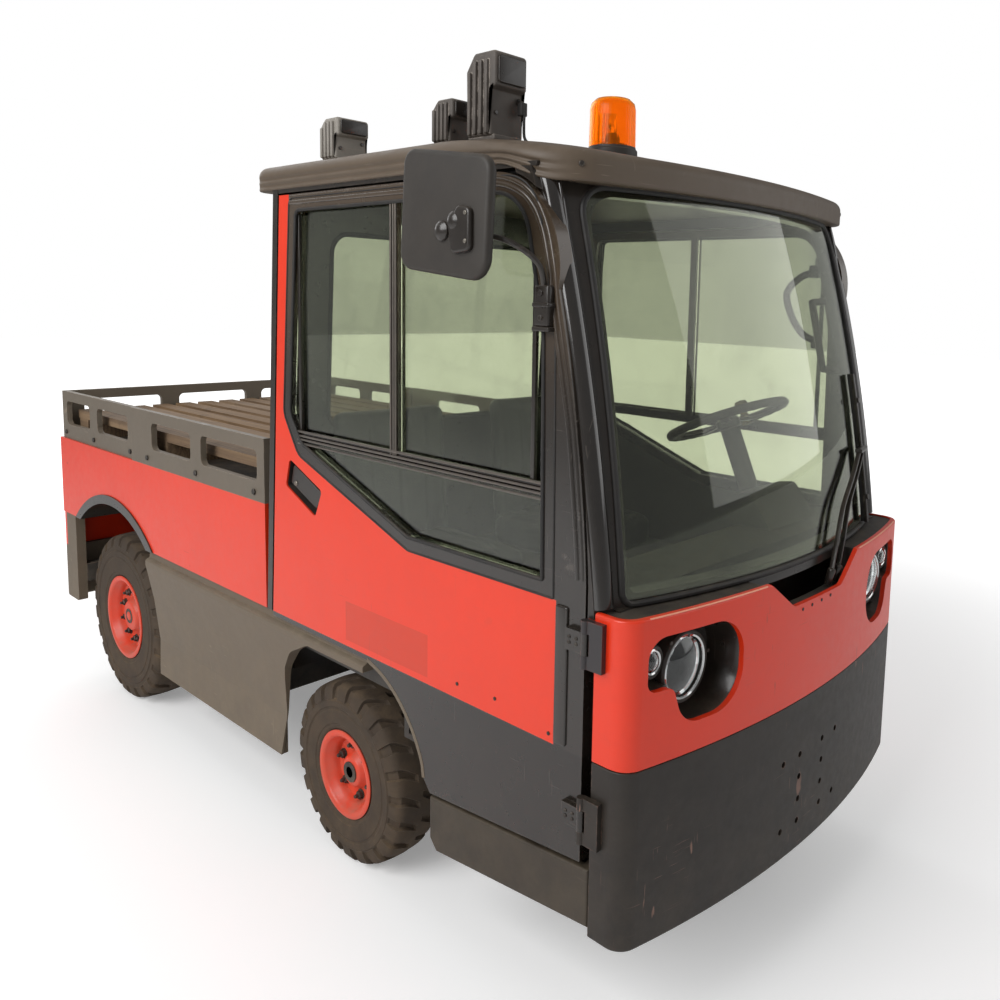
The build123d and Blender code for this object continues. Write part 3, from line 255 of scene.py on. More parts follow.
def sweep(path: np.ndarray, section: np.ndarray, up: Point = (0.0, 0.0, 1.0), closed: bool = False) -> Shape:
    """Section carried along a path: point = path + x * across + y * up, both square to the path.

    Args:
        path: Places along the middle line, shape (n, 3).
        section: Closed outline in (across, up), shape (m, 2).
        up: Rough up direction, the same all along.
        closed: Whether the path runs back into its start.

    Returns:
        The closed surface.
    """
    path = np.asarray(path, float)
    if closed:
        tangent = np.roll(path, -1, 0) - np.roll(path, 1, 0)
    else:
        tangent = np.gradient(path, axis=0)
    tangent /= np.linalg.norm(tangent, axis=1, keepdims=True)
    ref = np.asarray(up, float)
    across = np.cross(ref, tangent)
    across /= np.linalg.norm(across, axis=1, keepdims=True)
    high = np.cross(tangent, across)
    grid = path[:, None] + section[None, :, :1] * across[:, None] + section[None, :, 1:] * high[:, None]
    return skin(grid, wrap_rows=closed)


def circle(radius: float, count: int = 12) -> np.ndarray:
    """Outline (radius cos t, radius sin t), t in count even steps."""
    t = np.linspace(0, 2 * np.pi, count, endpoint=False)
    return radius * np.stack([np.cos(t), np.sin(t)], -1)


def rounded(corners: list[tuple[float, float]], radius: float | list[float], steps: int = 6) -> np.ndarray:
    """Polygon with round corners: each corner becomes an arc that touches both its sides.

    Args:
        corners: The polygon's corners in order.
        radius: One radius, or one for each corner.
        steps: Places on each arc.

    Returns:
        The outline, shape (n, 2).
    """
    p = np.asarray(corners, float)
    r = np.broadcast_to(np.asarray(radius, float), len(p))[:, None]
    back = np.roll(p, 1, 0) - p
    ahead = np.roll(p, -1, 0) - p
    back /= np.linalg.norm(back, axis=1, keepdims=True)
    ahead /= np.linalg.norm(ahead, axis=1, keepdims=True)
    half = 0.5 * np.arccos(np.clip((back * ahead).sum(1), -1, 1))[:, None]
    middle = back + ahead
    middle /= np.linalg.norm(middle, axis=1, keepdims=True)
    centre = p + middle * r / np.sin(half)
    start = p + back * r / np.tan(half) - centre
    end = p + ahead * r / np.tan(half) - centre
    u = np.linspace(0, 1, steps)[None, :, None]
    ray = start[:, None] * (1 - u) + end[:, None] * u
    length = np.linalg.norm(ray, axis=2, keepdims=True)
    arc = centre[:, None] + ray / np.maximum(length, 1e-9) * r[:, :, None]
    return arc.reshape(-1, 2)


def rectangle(width: float, height: float, radius: float, steps: int = 5) -> np.ndarray:
    """Rectangle about the origin with round corners."""
    w, h = width / 2, height / 2
    return rounded([(-w, -h), (w, -h), (w, h), (-w, h)], radius, steps)


def evenly(line: np.ndarray, count: int) -> np.ndarray:
    """Closed line divided anew into equal steps.

    Args:
        line: The closed line, shape (n, 2).
        count: Number of points wanted.

    Returns:
        The new points.
    """
    closed = np.vstack([line, line[:1]])
    run = np.concatenate([[0], np.cumsum(np.linalg.norm(np.diff(closed, axis=0), axis=1))])
    steps = np.linspace(0, run[-1], count, endpoint=False)
    return np.stack([np.interp(steps, run, closed[:, 0]), np.interp(steps, run, closed[:, 1])], -1)


def inset(outline: np.ndarray, distance: float | np.ndarray) -> np.ndarray:
    """Outline moved inwards along the mean normal of each point's two sides."""
    side = np.roll(outline, -1, 0) - outline
    side /= np.maximum(np.linalg.norm(side, axis=1, keepdims=True), 1e-9)
    normal = np.stack([-side[:, 1], side[:, 0]], -1)
    mean = normal + np.roll(normal, 1, 0)
    mean /= np.maximum(np.linalg.norm(mean, axis=1, keepdims=True), 1e-9)
    x, y = outline[:, 0], outline[:, 1]
    area = 0.5 * np.sum(x * np.roll(y, -1) - np.roll(x, -1) * y)
    return outline + mean * distance * np.sign(area)


def slab(outline: np.ndarray, low: float, high: float, edge: float, frame: np.ndarray,
         origin: Point, crown: float = 0.0, steps: int = 4) -> Shape:
    """Plate with rounded rims: the outline steps in by edge (1 - sin a) while it rises by edge (1 - cos a).

    Args:
        outline: Closed outline in the plate's own plane.
        low: Height of the lower face along the third axis.
        high: Height of the upper face.
        edge: Radius of the rounded rims.
        frame: Rows across, up and out of the plane.
        origin: Where the outline's zero lies.
        crown: How far the middle of the upper face swells out.
        steps: Rings on each rounded rim.

    Returns:
        The closed plate.
    """
    a = np.linspace(0, np.pi / 2, steps)
    rings = [(edge * (1 - math.sin(t)), low + edge * (1 - math.cos(t))) for t in a]
    rings += [(edge * (1 - math.sin(t)), high - edge * (1 - math.cos(t))) for t in a[::-1]]
    loops = [np.column_stack([inset(outline, d), np.full(len(outline), h)]) for d, h in rings]
    if crown:
        top = loops[-1]
        middle = top.mean(0)
        for share in (0.7, 0.4, 0.12):
            loop = middle + (top - middle) * share
            loop[:, 2] = top[:, 2] + crown * (1 - share ** 2)
            loops.append(loop)
    grid = np.stack(loops) @ frame + np.asarray(origin, float)
    return skin(grid)


SIDE_VIEW = np.array([[0.0, 1.0, 0.0], [0.0, 0.0, 1.0], [1.0, 0.0, 0.0]])
FRONT_VIEW = np.array([[1.0, 0.0, 0.0], [0.0, 0.0, 1.0], [0.0, -1.0, 0.0]])
TOP_VIEW = np.eye(3)


def block(low: Point, high: Point, edge: float) -> Shape:
    """Box between two corners with rounded edges."""
    lo, hi = np.asarray(low, float), np.asarray(high, float)
    mid, size = (lo + hi) / 2, hi - lo
    outline = rectangle(size[0], size[1], edge, 4)
    return slab(outline, -size[2] / 2, size[2] / 2, edge, TOP_VIEW, tuple(mid))


def heads(places: list[Point], out: Point, radius: float, height: float, sides: int = 6) -> Shape:
    """Bolt heads at several places, each a short lathe about the same axis with a domed end.

    Args:
        places: Where each head sits.
        out: The direction that they face.
        radius: Head radius.
        height: Head height.
        sides: 6 for hexagons, more for round heads.

    Returns:
        All heads as one shape.
    """
    profile = [(0.0, radius), (height * 0.8, radius), (height, radius * 0.82), (height, radius * 0.3)]
    one = lathe(profile, (0.0, 0.0, 0.0), out, sides)
    spots = np.asarray(places, float)
    points = (one.points[None] + spots[:, None]).reshape(-1, 3)
    count = len(one.points)
    faces = [[i + k * count for i in face] for k in range(len(spots)) for face in one.faces]
    return Shape(points, faces)


# ---------------------------------------------------------------- finishes


def linear(code: str) -> tuple[float, float, float, float]:
    """Linear colour of a hex colour: ((v + 0.055) / 1.055) ^ 2.4 above the toe."""
    parts = [int(code[k:k + 2], 16) / 255 for k in (1, 3, 5)]
    return (*[v / 12.92 if v < 0.04045 else ((v + 0.055) / 1.055) ** 2.4 for v in parts], 1.0)


class Nodes:
    """Short hand for wiring the nodes of one tree.

    Attributes:
        tree: The node tree.
    """

    def __init__(self, tree: bpy.types.NodeTree) -> None:
        """Keeps the tree.

        Args:
            tree: The node tree to add to.
        """
        self.tree = tree

    def add(self, kind: str, inputs: dict[str | int, object] | None = None,
            **fields: object) -> bpy.types.Node:
        """Adds a node.

        Args:
            kind: The node's type.
            inputs: Values or sockets for its inputs, by name or number.
            fields: Its settings.

        Returns:
            The node.
        """
        node = self.tree.nodes.new(kind)
        for key, value in fields.items():
            setattr(node, key, value)
        for key, value in (inputs or {}).items():
            if isinstance(value, bpy.types.NodeSocket):
                self.tree.links.new(value, node.inputs[key])
            else:
                node.inputs[key].default_value = value
        return node

    def math(self, operation: str, *values: object, clamp: bool = False) -> bpy.types.NodeSocket:
        """Result of a math node on two or three values or sockets."""
        node = self.add("ShaderNodeMath", dict(enumerate(values)), operation=operation, use_clamp=clamp)
        return node.outputs[0]

    def noise(self, vector: object, scale: float, detail: float = 4.0,
              rough: float = 0.55) -> bpy.types.NodeSocket:
        """Value of a noise texture."""
        inputs = {"Vector": vector, "Scale": scale, "Detail": detail, "Roughness": rough}
        return self.add("ShaderNodeTexNoise", inputs).outputs["Fac"]

    def ramp(self, value: object, low: float, high: float) -> bpy.types.NodeSocket:
        """Smooth step from 0 at low to 1 at high."""
        inputs = {"Value": value, "From Min": low, "From Max": high}
        return self.add("ShaderNodeMapRange", inputs, interpolation_type="SMOOTHSTEP").outputs[0]

    def mix(self, share: object, first: object, second: object, blend: str = "MIX") -> bpy.types.NodeSocket:
        """Colour mix of two colours or sockets by a share."""
        node = self.add("ShaderNodeMix", {0: share, 6: first, 7: second}, data_type="RGBA", blend_type=blend)
        return node.outputs[2]

    def stretched(self, vector: object, scale: Point, turn: float = 0.0) -> bpy.types.NodeSocket:
        """Coordinates scaled, and turned about X, by a mapping node."""
        inputs = {"Vector": vector, "Rotation": (turn, 0.0, 0.0), "Scale": scale}
        return self.add("ShaderNodeMapping", inputs).outputs[0]


def make_group(name: str, inputs: dict[str, tuple[str, object]], outputs: dict[str, str]
               ) -> tuple[bpy.types.NodeTree, Nodes, Sockets]:
    """Starts a shader node group with named sockets.

    Args:
        name: The group's name.
        inputs: Socket type and default by name.
        outputs: Socket type by name.

    Returns:
        The tree, its wiring helper and its input sockets by name.
    """
    tree = bpy.data.node_groups.new(name, "ShaderNodeTree")
    for key, (kind, value) in inputs.items():
        socket = tree.interface.new_socket(key, in_out="INPUT", socket_type=kind)
        if value is not None:
            socket.default_value = value
    for key, kind in outputs.items():
        tree.interface.new_socket(key, in_out="OUTPUT", socket_type=kind)
    nodes = Nodes(tree)
    entry = nodes.add("NodeGroupInput")
    return tree, nodes, {key: entry.outputs[key] for key in inputs}


def finish_group(nodes: Nodes, outputs: Sockets) -> None:
    """Wires sockets to a group's outputs by name."""
    nodes.add("NodeGroupOutput", outputs)


def make_weathering() -> bpy.types.NodeTree:
    """Group that lays mottling, dust, scratches and fine grain over a base colour.

    Returns:
        The node group.
    """
    number, colour = "NodeSocketFloat", "NodeSocketColor"
    tree, n, s = make_group("weathering", {
        "Vector": ("NodeSocketVector", None), "Base": (colour, (0.5, 0.5, 0.5, 1)),
        "Dust Colour": (colour, (0.3, 0.27, 0.22, 1)), "Bare": (colour, (0.4, 0.35, 0.3, 1)),
        "Mottle": (number, 0.1), "Dust": (number, 0.2), "Scratches": (number, 0.1), "Wear": (number, 0.0),
        "Rough": (number, 0.5), "Grain Scale": (number, 600.0), "Grain": (number, 0.1),
    }, {"Colour": colour, "Roughness": number, "Height": number})
    cloud = n.noise(s["Vector"], 5.0, 6.0, 0.6)
    blotch = n.noise(s["Vector"], 38.0, 5.0, 0.65)
    shade = n.math("MULTIPLY_ADD", n.math("SUBTRACT", cloud, 0.5), 1.6,
                   n.math("MULTIPLY", n.math("SUBTRACT", blotch, 0.5), 0.9))
    shade = n.math("MULTIPLY_ADD", shade, s["Mottle"], 1.0)
    grey = n.add("ShaderNodeCombineColor", {0: shade, 1: shade, 2: shade}).outputs[0]
    tinted = n.mix(1.0, s["Base"], grey, "MULTIPLY")
    geometry = n.add("ShaderNodeNewGeometry")
    normal = n.add("ShaderNodeSeparateXYZ", {0: geometry.outputs["Normal"]}).outputs
    place = n.add("ShaderNodeSeparateXYZ", {0: s["Vector"]}).outputs
    up = n.ramp(normal["Z"], 0.25, 1.0)
    low = n.math("SUBTRACT", 1.0, n.ramp(place["Z"], 0.05, 0.75))
    settle = n.math("ADD", n.math("MULTIPLY", up, 0.7), n.math("MULTIPLY_ADD", low, 0.45, 0.12))
    film = n.math("MULTIPLY", settle, n.ramp(n.noise(s["Vector"], 11.0, 8.0, 0.7), 0.3, 0.75))
    film = n.math("MULTIPLY", film, s["Dust"], clamp=True)
    dusty = n.mix(film, tinted, s["Dust Colour"])
    lines = None
    for stretch, turn in (((260.0, 9.0, 14.0), 0.35), ((9.0, 10.0, 320.0), 0.1), ((12.0, 300.0, 10.0), 0.8)):
        streak = n.ramp(n.noise(n.stretched(s["Vector"], stretch, turn), 1.0, 2.0, 0.5), 0.69, 0.74)
        lines = streak if lines is None else n.math("MAXIMUM", lines, streak)
    patchy = n.math("MULTIPLY", lines, n.ramp(n.noise(s["Vector"], 4.0, 2.0), 0.5, 0.66))
    scratch = n.math("MULTIPLY", patchy, s["Scratches"], clamp=True)
    scored = n.mix(scratch, dusty, s["Bare"])
    bevel = n.add("ShaderNodeBevel", {"Radius": 0.006}, samples=4)
    turned = n.add("ShaderNodeVectorMath", {0: bevel.outputs[0], 1: geometry.outputs["Normal"]},
                   operation="DOT_PRODUCT").outputs["Value"]
    rim = n.ramp(n.math("SUBTRACT", 1.0, turned), 0.02, 0.25)
    rim = n.math("MULTIPLY", rim, n.ramp(n.noise(s["Vector"], 26.0, 5.0, 0.7), 0.42, 0.62))
    worn = n.mix(n.math("MULTIPLY", rim, s["Wear"], clamp=True), scored, s["Bare"])
    rough = n.math("ADD", s["Rough"], n.math("MULTIPLY", film, 0.4))
    rough = n.math("ADD", rough, n.math("MULTIPLY", n.math("SUBTRACT", blotch, 0.5), 0.22))
    rough = n.math("ADD", rough, n.math("MULTIPLY", scratch, 0.15), clamp=True)
    fine = n.add("ShaderNodeTexNoise",
                 {"Vector": s["Vector"], "Scale": s["Grain Scale"], "Detail": 3.0}).outputs["Fac"]
    height = n.math("SUBTRACT", n.math("MULTIPLY", fine, s["Grain"]), n.math("MULTIPLY", scratch, 0.5))
    finish_group(n, {"Colour": worn, "Roughness": rough, "Height": height})
    return tree


@dataclass(frozen=True)
class Finish:
    """One weathered finish.

    Attributes:
        name: Its name.
        colour: Hex base colour.
        rough: Roughness before dust.
        metallic: 1 for bare metal.
        coat: Clear coat weight.
        mottle: How much the colour varies.
        dust: How much dust settles on it.
        dust_colour: Hex colour of that dust.
        scratches: How strong the scratches are.
        bare: Hex colour that shows in scratches and on worn edges.
        wear: How worn its edges are.
        grain: Strength of the fine grain.
        grain_scale: Grains per metre, roughly.
        low_colour: Hex colour below low_top, if it is two-tone.
        low_top: Height of that border.
        high_colour: Hex colour above high_span, if there is one; it fades in over that span.
        high_span: Heights where that colour starts and where it is full.
        outer_colour: Hex colour of what stands proud of the body's sides, such as hinges.
        inner_colour: Hex colour of what lies inside the doors' skin.
        patch: Lowest and highest corner of a darker blank field, if there is one.
        ripple: Depth in metres of long soft waves in the surface.
    """

    name: str
    colour: str
    rough: float = 0.5
    metallic: float = 0.0
    coat: float = 0.0
    mottle: float = 0.12
    dust: float = 0.35
    dust_colour: str = "#8C7D6B"
    scratches: float = 0.35
    bare: str = "#A8988A"
    wear: float = 0.35
    grain: float = 0.3
    grain_scale: float = 700.0
    low_colour: str = ""
    low_top: float = 0.0
    high_colour: str = ""
    high_span: tuple[float, float] = (1.35, 1.75)
    outer_colour: str = ""
    inner_colour: str = ""
    patch: tuple[Point, Point] | None = None
    ripple: float = 0.0

    def base(self, n: Nodes, vector: bpy.types.NodeSocket) -> object:
        """Base colour, with the two-tone border and the darker field where the finish has them.

        Args:
            n: Wiring helper of the material.
            vector: Object coordinates.

        Returns:
            A colour or a socket.
        """
        colour: object = linear(self.colour)
        if not (self.low_colour or self.high_colour or self.outer_colour or self.inner_colour or self.patch):
            return colour
        place = n.add("ShaderNodeSeparateXYZ", {0: vector}).outputs
        if self.low_colour:
            above = n.ramp(place["Z"], self.low_top - 0.001, self.low_top + 0.001)
            colour = n.mix(above, linear(self.low_colour), colour)
        if self.high_colour:
            colour = n.mix(n.ramp(place["Z"], *self.high_span), colour, linear(self.high_colour))
        if self.outer_colour:
            beyond = n.ramp(n.math("ABSOLUTE", place["X"]), HALF_WIDTH + 0.0003, HALF_WIDTH + 0.0012)
            colour = n.mix(beyond, colour, linear(self.outer_colour))
        if self.inner_colour:
            beyond = n.ramp(n.math("ABSOLUTE", place["X"]), HALF_WIDTH - 0.006, HALF_WIDTH - 0.004)
            colour = n.mix(beyond, linear(self.inner_colour), colour)
        if self.patch is not None:
            inside: object = n.math("LESS_THAN", place["X"], 0.0)
            for axis, low, high in zip("YZ", self.patch[0][1:], self.patch[1][1:]):
                inside = n.math("MULTIPLY", inside, n.ramp(place[axis], low - 0.0008, low + 0.0008))
                inside = n.math("MULTIPLY", inside, n.math("SUBTRACT", 1.0,
                                                           n.ramp(place[axis], high - 0.0008, high + 0.0008)))
            colour = n.mix(n.math("MULTIPLY", inside, 0.75), colour, linear("#C22E04"))
        return colour

    def make(self, groups: dict[str, bpy.types.NodeTree]) -> bpy.types.Material:
        """Builds the material.

        Args:
            groups: The shared node groups by name.

        Returns:
            The material.
        """
        mat = bpy.data.materials.new(self.name)
        mat.use_nodes = True
        mat.node_tree.nodes.clear()
        n = Nodes(mat.node_tree)
        vector = n.add("ShaderNodeTexCoord").outputs["Object"]
        group = n.add("ShaderNodeGroup", node_tree=groups["weathering"])
        values = {"Base": self.base(n, vector), "Dust Colour": linear(self.dust_colour),
                  "Bare": linear(self.bare),
                  "Mottle": self.mottle, "Dust": self.dust, "Scratches": self.scratches, "Wear": self.wear,
                  "Rough": self.rough, "Grain Scale": self.grain_scale, "Grain": self.grain, "Vector": vector}
        for key, value in values.items():
            if isinstance(value, bpy.types.NodeSocket):
                mat.node_tree.links.new(value, group.inputs[key])
            else:
                group.inputs[key].default_value = value
        height: object = group.outputs["Height"]
        if self.ripple:
            wave = n.noise(vector, 9.0, 2.0)
            height = n.math("MULTIPLY_ADD", wave, self.ripple * 5000, height)
        bump = n.add("ShaderNodeBump", {"Height": height, "Strength": 0.5, "Distance": 0.0004})
        shader = n.add("ShaderNodeBsdfPrincipled", {
            "Base Color": group.outputs["Colour"], "Roughness": group.outputs["Roughness"],
            "Metallic": self.metallic, "Coat Weight": self.coat, "Coat Roughness": 0.12,
            "Normal": bump.outputs[0]})
        n.add("ShaderNodeOutputMaterial", {"Surface": shader.outputs[0]})
        return mat


@dataclass(frozen=True)
class Clear:
    """Glass or a clear lens.

    Attributes:
        name: Its name.
        colour: Hex tint.
        rough: Roughness.
        smear: How much smears vary the roughness.
        transmission: Share of light that passes.
        ior: Refractive index.
        glow: Hex colour of a faint own light, if it has one.
    """

    name: str
    colour: str
    rough: float = 0.02
    smear: float = 0.05
    transmission: float = 1.0
    ior: float = 1.45
    glow: str = ""

    def make(self) -> bpy.types.Material:
        """Builds the material: tinted, with smears in its roughness and faint mottling of its tint."""
        mat = bpy.data.materials.new(self.name)
        mat.use_nodes = True
        mat.node_tree.nodes.clear()
        n = Nodes(mat.node_tree)
        vector = n.add("ShaderNodeTexCoord").outputs["Object"]
        smear = n.ramp(n.noise(vector, 6.0, 6.0, 0.7), 0.45, 0.8)
        rough = n.math("MULTIPLY_ADD", smear, self.smear, self.rough)
        dark = tuple(0.9 * v for v in linear(self.colour)[:3]) + (1.0,)
        colour = n.mix(smear, linear(self.colour), dark)
        shader = n.add("ShaderNodeBsdfPrincipled", {
            "Base Color": colour, "Roughness": rough, "Transmission Weight": self.transmission,
            "IOR": self.ior})
        if self.glow:
            shader.inputs["Emission Color"].default_value = linear(self.glow)
            shader.inputs["Emission Strength"].default_value = 0.05
        n.add("ShaderNodeOutputMaterial", {"Surface": shader.outputs[0]})
        return mat


@dataclass(frozen=True)
class Timber:
    """Raw weathered boards whose grain runs along Y.

    Attributes:
        name: Its name.
        light: Hex colour of the pale grain.
        dark: Hex colour of the dark grain.
        dirt: Hex colour of the stains.
        board: Width of one board with its gap.
    """

    name: str = "weathered_timber"
    light: str = "#8C7152"
    dark: str = "#6A5138"
    dirt: str = "#4A3D30"
    board: float = 0.108

    def make(self) -> bpy.types.Material:
        """Builds the material: stretched noise for grain, rings for knots, a tone for each board, stains."""
        mat = bpy.data.materials.new(self.name)
        mat.use_nodes = True
        mat.node_tree.nodes.clear()
        n = Nodes(mat.node_tree)
        vector = n.add("ShaderNodeTexCoord").outputs["Object"]
        place = n.add("ShaderNodeSeparateXYZ", {0: vector}).outputs
        number = n.math("FLOOR", n.math("DIVIDE", place["X"], self.board))
        tone = n.add("ShaderNodeTexWhiteNoise", {"W": number}, noise_dimensions="1D").outputs["Value"]
        offset = n.add("ShaderNodeCombineXYZ", {0: tone, 1: n.math("MULTIPLY", tone, 7.0), 2: 0.0}).outputs[0]
        moved = n.add("ShaderNodeVectorMath", {0: vector, 1: offset}, operation="ADD").outputs[0]
        long_grain = n.noise(n.stretched(moved, (130.0, 3.0, 130.0)), 1.0, 6.0, 0.65)
        wide_grain = n.noise(n.stretched(moved, (34.0, 1.6, 34.0)), 1.0, 4.0, 0.6)
        ring = n.add("ShaderNodeTexWave", {"Vector": n.stretched(moved, (1.0, 0.06, 1.0)), "Scale": 22.0,
                                           "Distortion": 9.0, "Detail": 3.0}).outputs["Fac"]
        grain = n.math("ADD", n.math("MULTIPLY", long_grain, 0.6), n.math("MULTIPLY", ring, 0.25))
        grain = n.math("ADD", grain, n.math("MULTIPLY", wide_grain, 0.35))
        colour = n.mix(n.ramp(grain, 0.38, 0.85), linear(self.dark), linear(self.light))
        colour = n.mix(n.math("MULTIPLY", tone, 0.35), colour, linear("#8E8174"))
        stain = n.ramp(n.noise(vector, 7.0, 7.0, 0.7), 0.5, 0.78)
        colour = n.mix(n.math("MULTIPLY", stain, 0.7), colour, linear(self.dirt))
        crack = n.ramp(long_grain, 0.3, 0.42)
        colour = n.mix(n.math("SUBTRACT", 0.55, n.math("MULTIPLY", crack, 0.55)), colour, linear("#2B231B"))
        bump = n.add("ShaderNodeBump", {"Height": grain, "Strength": 0.7, "Distance": 0.002})
        shader = n.add("ShaderNodeBsdfPrincipled", {
            "Base Color": colour, "Roughness": n.math("MULTIPLY_ADD", grain, 0.2, 0.7),
            "Normal": bump.outputs[0]})
        n.add("ShaderNodeOutputMaterial", {"Surface": shader.outputs[0]})
        return mat


FINISHES = (
    Finish("red_paint", "#DE3008", rough=0.36, coat=0.15, mottle=0.09, dust=0.13, scratches=0.4,
           bare="#8A4A38",
           wear=0.3, grain=0.12, ripple=0.0005, outer_colour="#262224"),
    Finish("door_red", "#DE3008", rough=0.36, coat=0.15, mottle=0.09, dust=0.13, scratches=0.4,
           bare="#8A4A38",
           wear=0.3, grain=0.12, ripple=0.0005, outer_colour="#262224", inner_colour="#2B2826",
           patch=((-0.70, at(0.725), 0.722), (-0.60, at(1.086), 0.832))),
    Finish("rim_red", "#D93A18", rough=0.42, coat=0.1, mottle=0.14, dust=0.55, bare="#6B4A3E", wear=0.4),
    Finish("sill_grey", "#65594A", rough=0.55, mottle=0.14, dust=0.5, dust_colour="#94866F", scratches=0.6,
           bare="#A89A86", ripple=0.0004),
    # Front sills: a darker copy of the sill grey, with the shade on their down-turned faces painted into the
    # colour.
    Finish("front_sill_grey", "#352D23", rough=0.55, mottle=0.14, dust=0.4, dust_colour="#7A6D59",
           scratches=0.6,
           bare="#8E816D", ripple=0.0004),
    Finish("rail_grey", "#655C50", rough=0.5, mottle=0.14, dust=0.45, bare="#9A8A78", wear=0.6),
    Finish("roof_grey", "#574A3C", rough=0.5, mottle=0.12, dust=0.5, dust_colour="#86786A", scratches=0.3,
           bare="#9B8C7C"),
    Finish("bumper_grey", "#201A14", rough=0.5, mottle=0.16, dust=0.22, scratches=0.8, bare="#8B6A5C",
           wear=0.5,
           ripple=0.0004),
    Finish("door_black", "#221D19", rough=0.24, coat=0.4, mottle=0.1, dust=0.12, scratches=0.25,
           bare="#7E756C",
           wear=0.3, grain=0.08, low_colour="#16110C", low_top=0.704, high_colour="#463A2E"),
    Finish("gloss_black", "#1F1B18", rough=0.16, coat=0.7, mottle=0.06, dust=0.08, scratches=0.15,
           bare="#7E756C",
           wear=0.15, grain=0.05),
    # Pale colour of the nose's edge bead: partly worn paint, partly a painted highlight along the edge.
    Finish("lip_worn", "#F0A184", rough=0.4, mottle=0.2, dust=0.1, wear=0.0),
    Finish("spinner_olive", "#7A6E3C", rough=0.5, mottle=0.1, dust=0.2, wear=0.0),
    Finish("satin_black", "#221D19", rough=0.3, coat=0.2, mottle=0.1, dust=0.2, scratches=0.25,
           bare="#776D64",
           wear=0.3, grain=0.1),
    Finish("moulded_black", "#2C2824", rough=0.55, mottle=0.12, dust=0.3, scratches=0.1, wear=0.1, grain=0.9,
           grain_scale=900.0, bare="#5C5854"),
    Finish("frame_primer", "#2D2B29", rough=0.6, mottle=0.2, dust=0.8, scratches=0.3, bare="#7A6350",
           wear=0.5),
    Finish("bare_steel", "#8B857C", rough=0.38, metallic=0.9, mottle=0.25, dust=0.25, scratches=0.5,
           bare="#C9C2B6", wear=0.4),
    Finish("dark_steel", "#3A3633", rough=0.42, metallic=0.6, mottle=0.2, dust=0.35, scratches=0.3,
           bare="#8F877C"),
    Finish("rubber", "#3B3025", rough=0.82, mottle=0.16, dust=0.62, dust_colour="#75624C", scratches=0.0,
           wear=0.5, bare="#6E6257", grain=0.8, grain_scale=500.0),
    Finish("seal_rubber", "#1E1D1D", rough=0.6, mottle=0.1, dust=0.3, scratches=0.0, wear=0.0),
    Finish("seat_vinyl", "#232325", rough=0.5, mottle=0.1, dust=0.2, scratches=0.0, wear=0.0, grain=2.2,
           grain_scale=420.0),
    Finish("chrome", "#D9DADA", rough=0.07, metallic=1.0, mottle=0.03, dust=0.05, scratches=0.05, wear=0.0,
           grain=0.0),
    Finish("battery_case", "#2B2B2D", rough=0.6, mottle=0.15, dust=0.6, wear=0.2),
    Finish("lamp_case", "#4B4540", rough=0.6, mottle=0.15, dust=0.9, dust_colour="#9A8F84", wear=1.0,
           bare="#B5ABA0",
           grain=0.7),
    Finish("faded_grey", "#8C877F", rough=0.6, mottle=0.2, dust=0.5, wear=0.2, grain=0.7),
    Finish("track_alloy", "#6E6862", rough=0.35, metallic=0.7, mottle=0.1, dust=0.2, scratches=0.2),
)

CLEARS = (
    Clear("safety_glass", "#CDD2BE", rough=0.015, smear=0.03),
    Clear("lamp_glass", "#F2F5F5", rough=0.01, smear=0.03),
    Clear("amber_lens", "#FFA50C", rough=0.05, smear=0.10, transmission=0.94, ior=1.22, glow="#E06A00"),
    Clear("red_lens", "#B8130F", rough=0.08, smear=0.06, transmission=0.45, glow="#A00804"),
)


class Paints:
    """All materials of the vehicle, by name."""

    def __init__(self) -> None:
        """Builds every finish once."""
        groups = {"weathering": make_weathering()}
        self.by_name = {f.name: f.make(groups) for f in FINISHES}
        self.by_name.update({c.name: c.make() for c in CLEARS})
        self.by_name["weathered_timber"] = Timber().make()

    def __getitem__(self, name: str) -> bpy.types.Material:
        """The material of that name."""
        return self.by_name[name]


NODE_FINISH = {
    "red_paint": ("nose_panel", "side_panels", "rear_panel"),
    "door_red": ("door_panel_right", "door_panel_left"),
    "sill_grey": ("rear_sills", "rear_bumper"),
    # The front sills take the copy of the sill grey with painted shade.
    "front_sill_grey": ("front_sills",),
    "rail_grey": ("deck_rails",),
    "roof_grey": ("roof",),
    "bumper_grey": ("front_bumper",),
    "door_black": ("door_frame_right", "door_frame_left"),
    "satin_black": ("cab_frame", "door_handle_right", "door_handle_left", "mirror_left", "cab_rear_wall",
                    "rear_fenders"),
    "moulded_black": ("cowl", "dashboard", "seat_base", "steering_column", "cab_floor", "pedals"),
    "frame_primer": ("chassis_frame", "front_axle", "knuckle_right", "knuckle_left", "rear_axle",
                     "load_deck"),
    "bare_steel": ("tow_coupling",),
    "battery_case": ("battery_block",),
    "weathered_timber": ("deck_slats",),
    "safety_glass": ("windscreen", "rear_window", "door_glass_right", "door_glass_left"),
}


def dress_nodes(frame: dict, paints: Paints) -> None:
    """Gives every model node that stays its finish.

    Args:
        frame: The loaded frame.
        paints: The materials.
    """
    for finish, names in NODE_FINISH.items():
        for name in names:
            mesh = frame["nodes"][name].data
            mesh.materials.clear()
            mesh.materials.append(paints[finish])


# ---------------------------------------------------------------- wheels


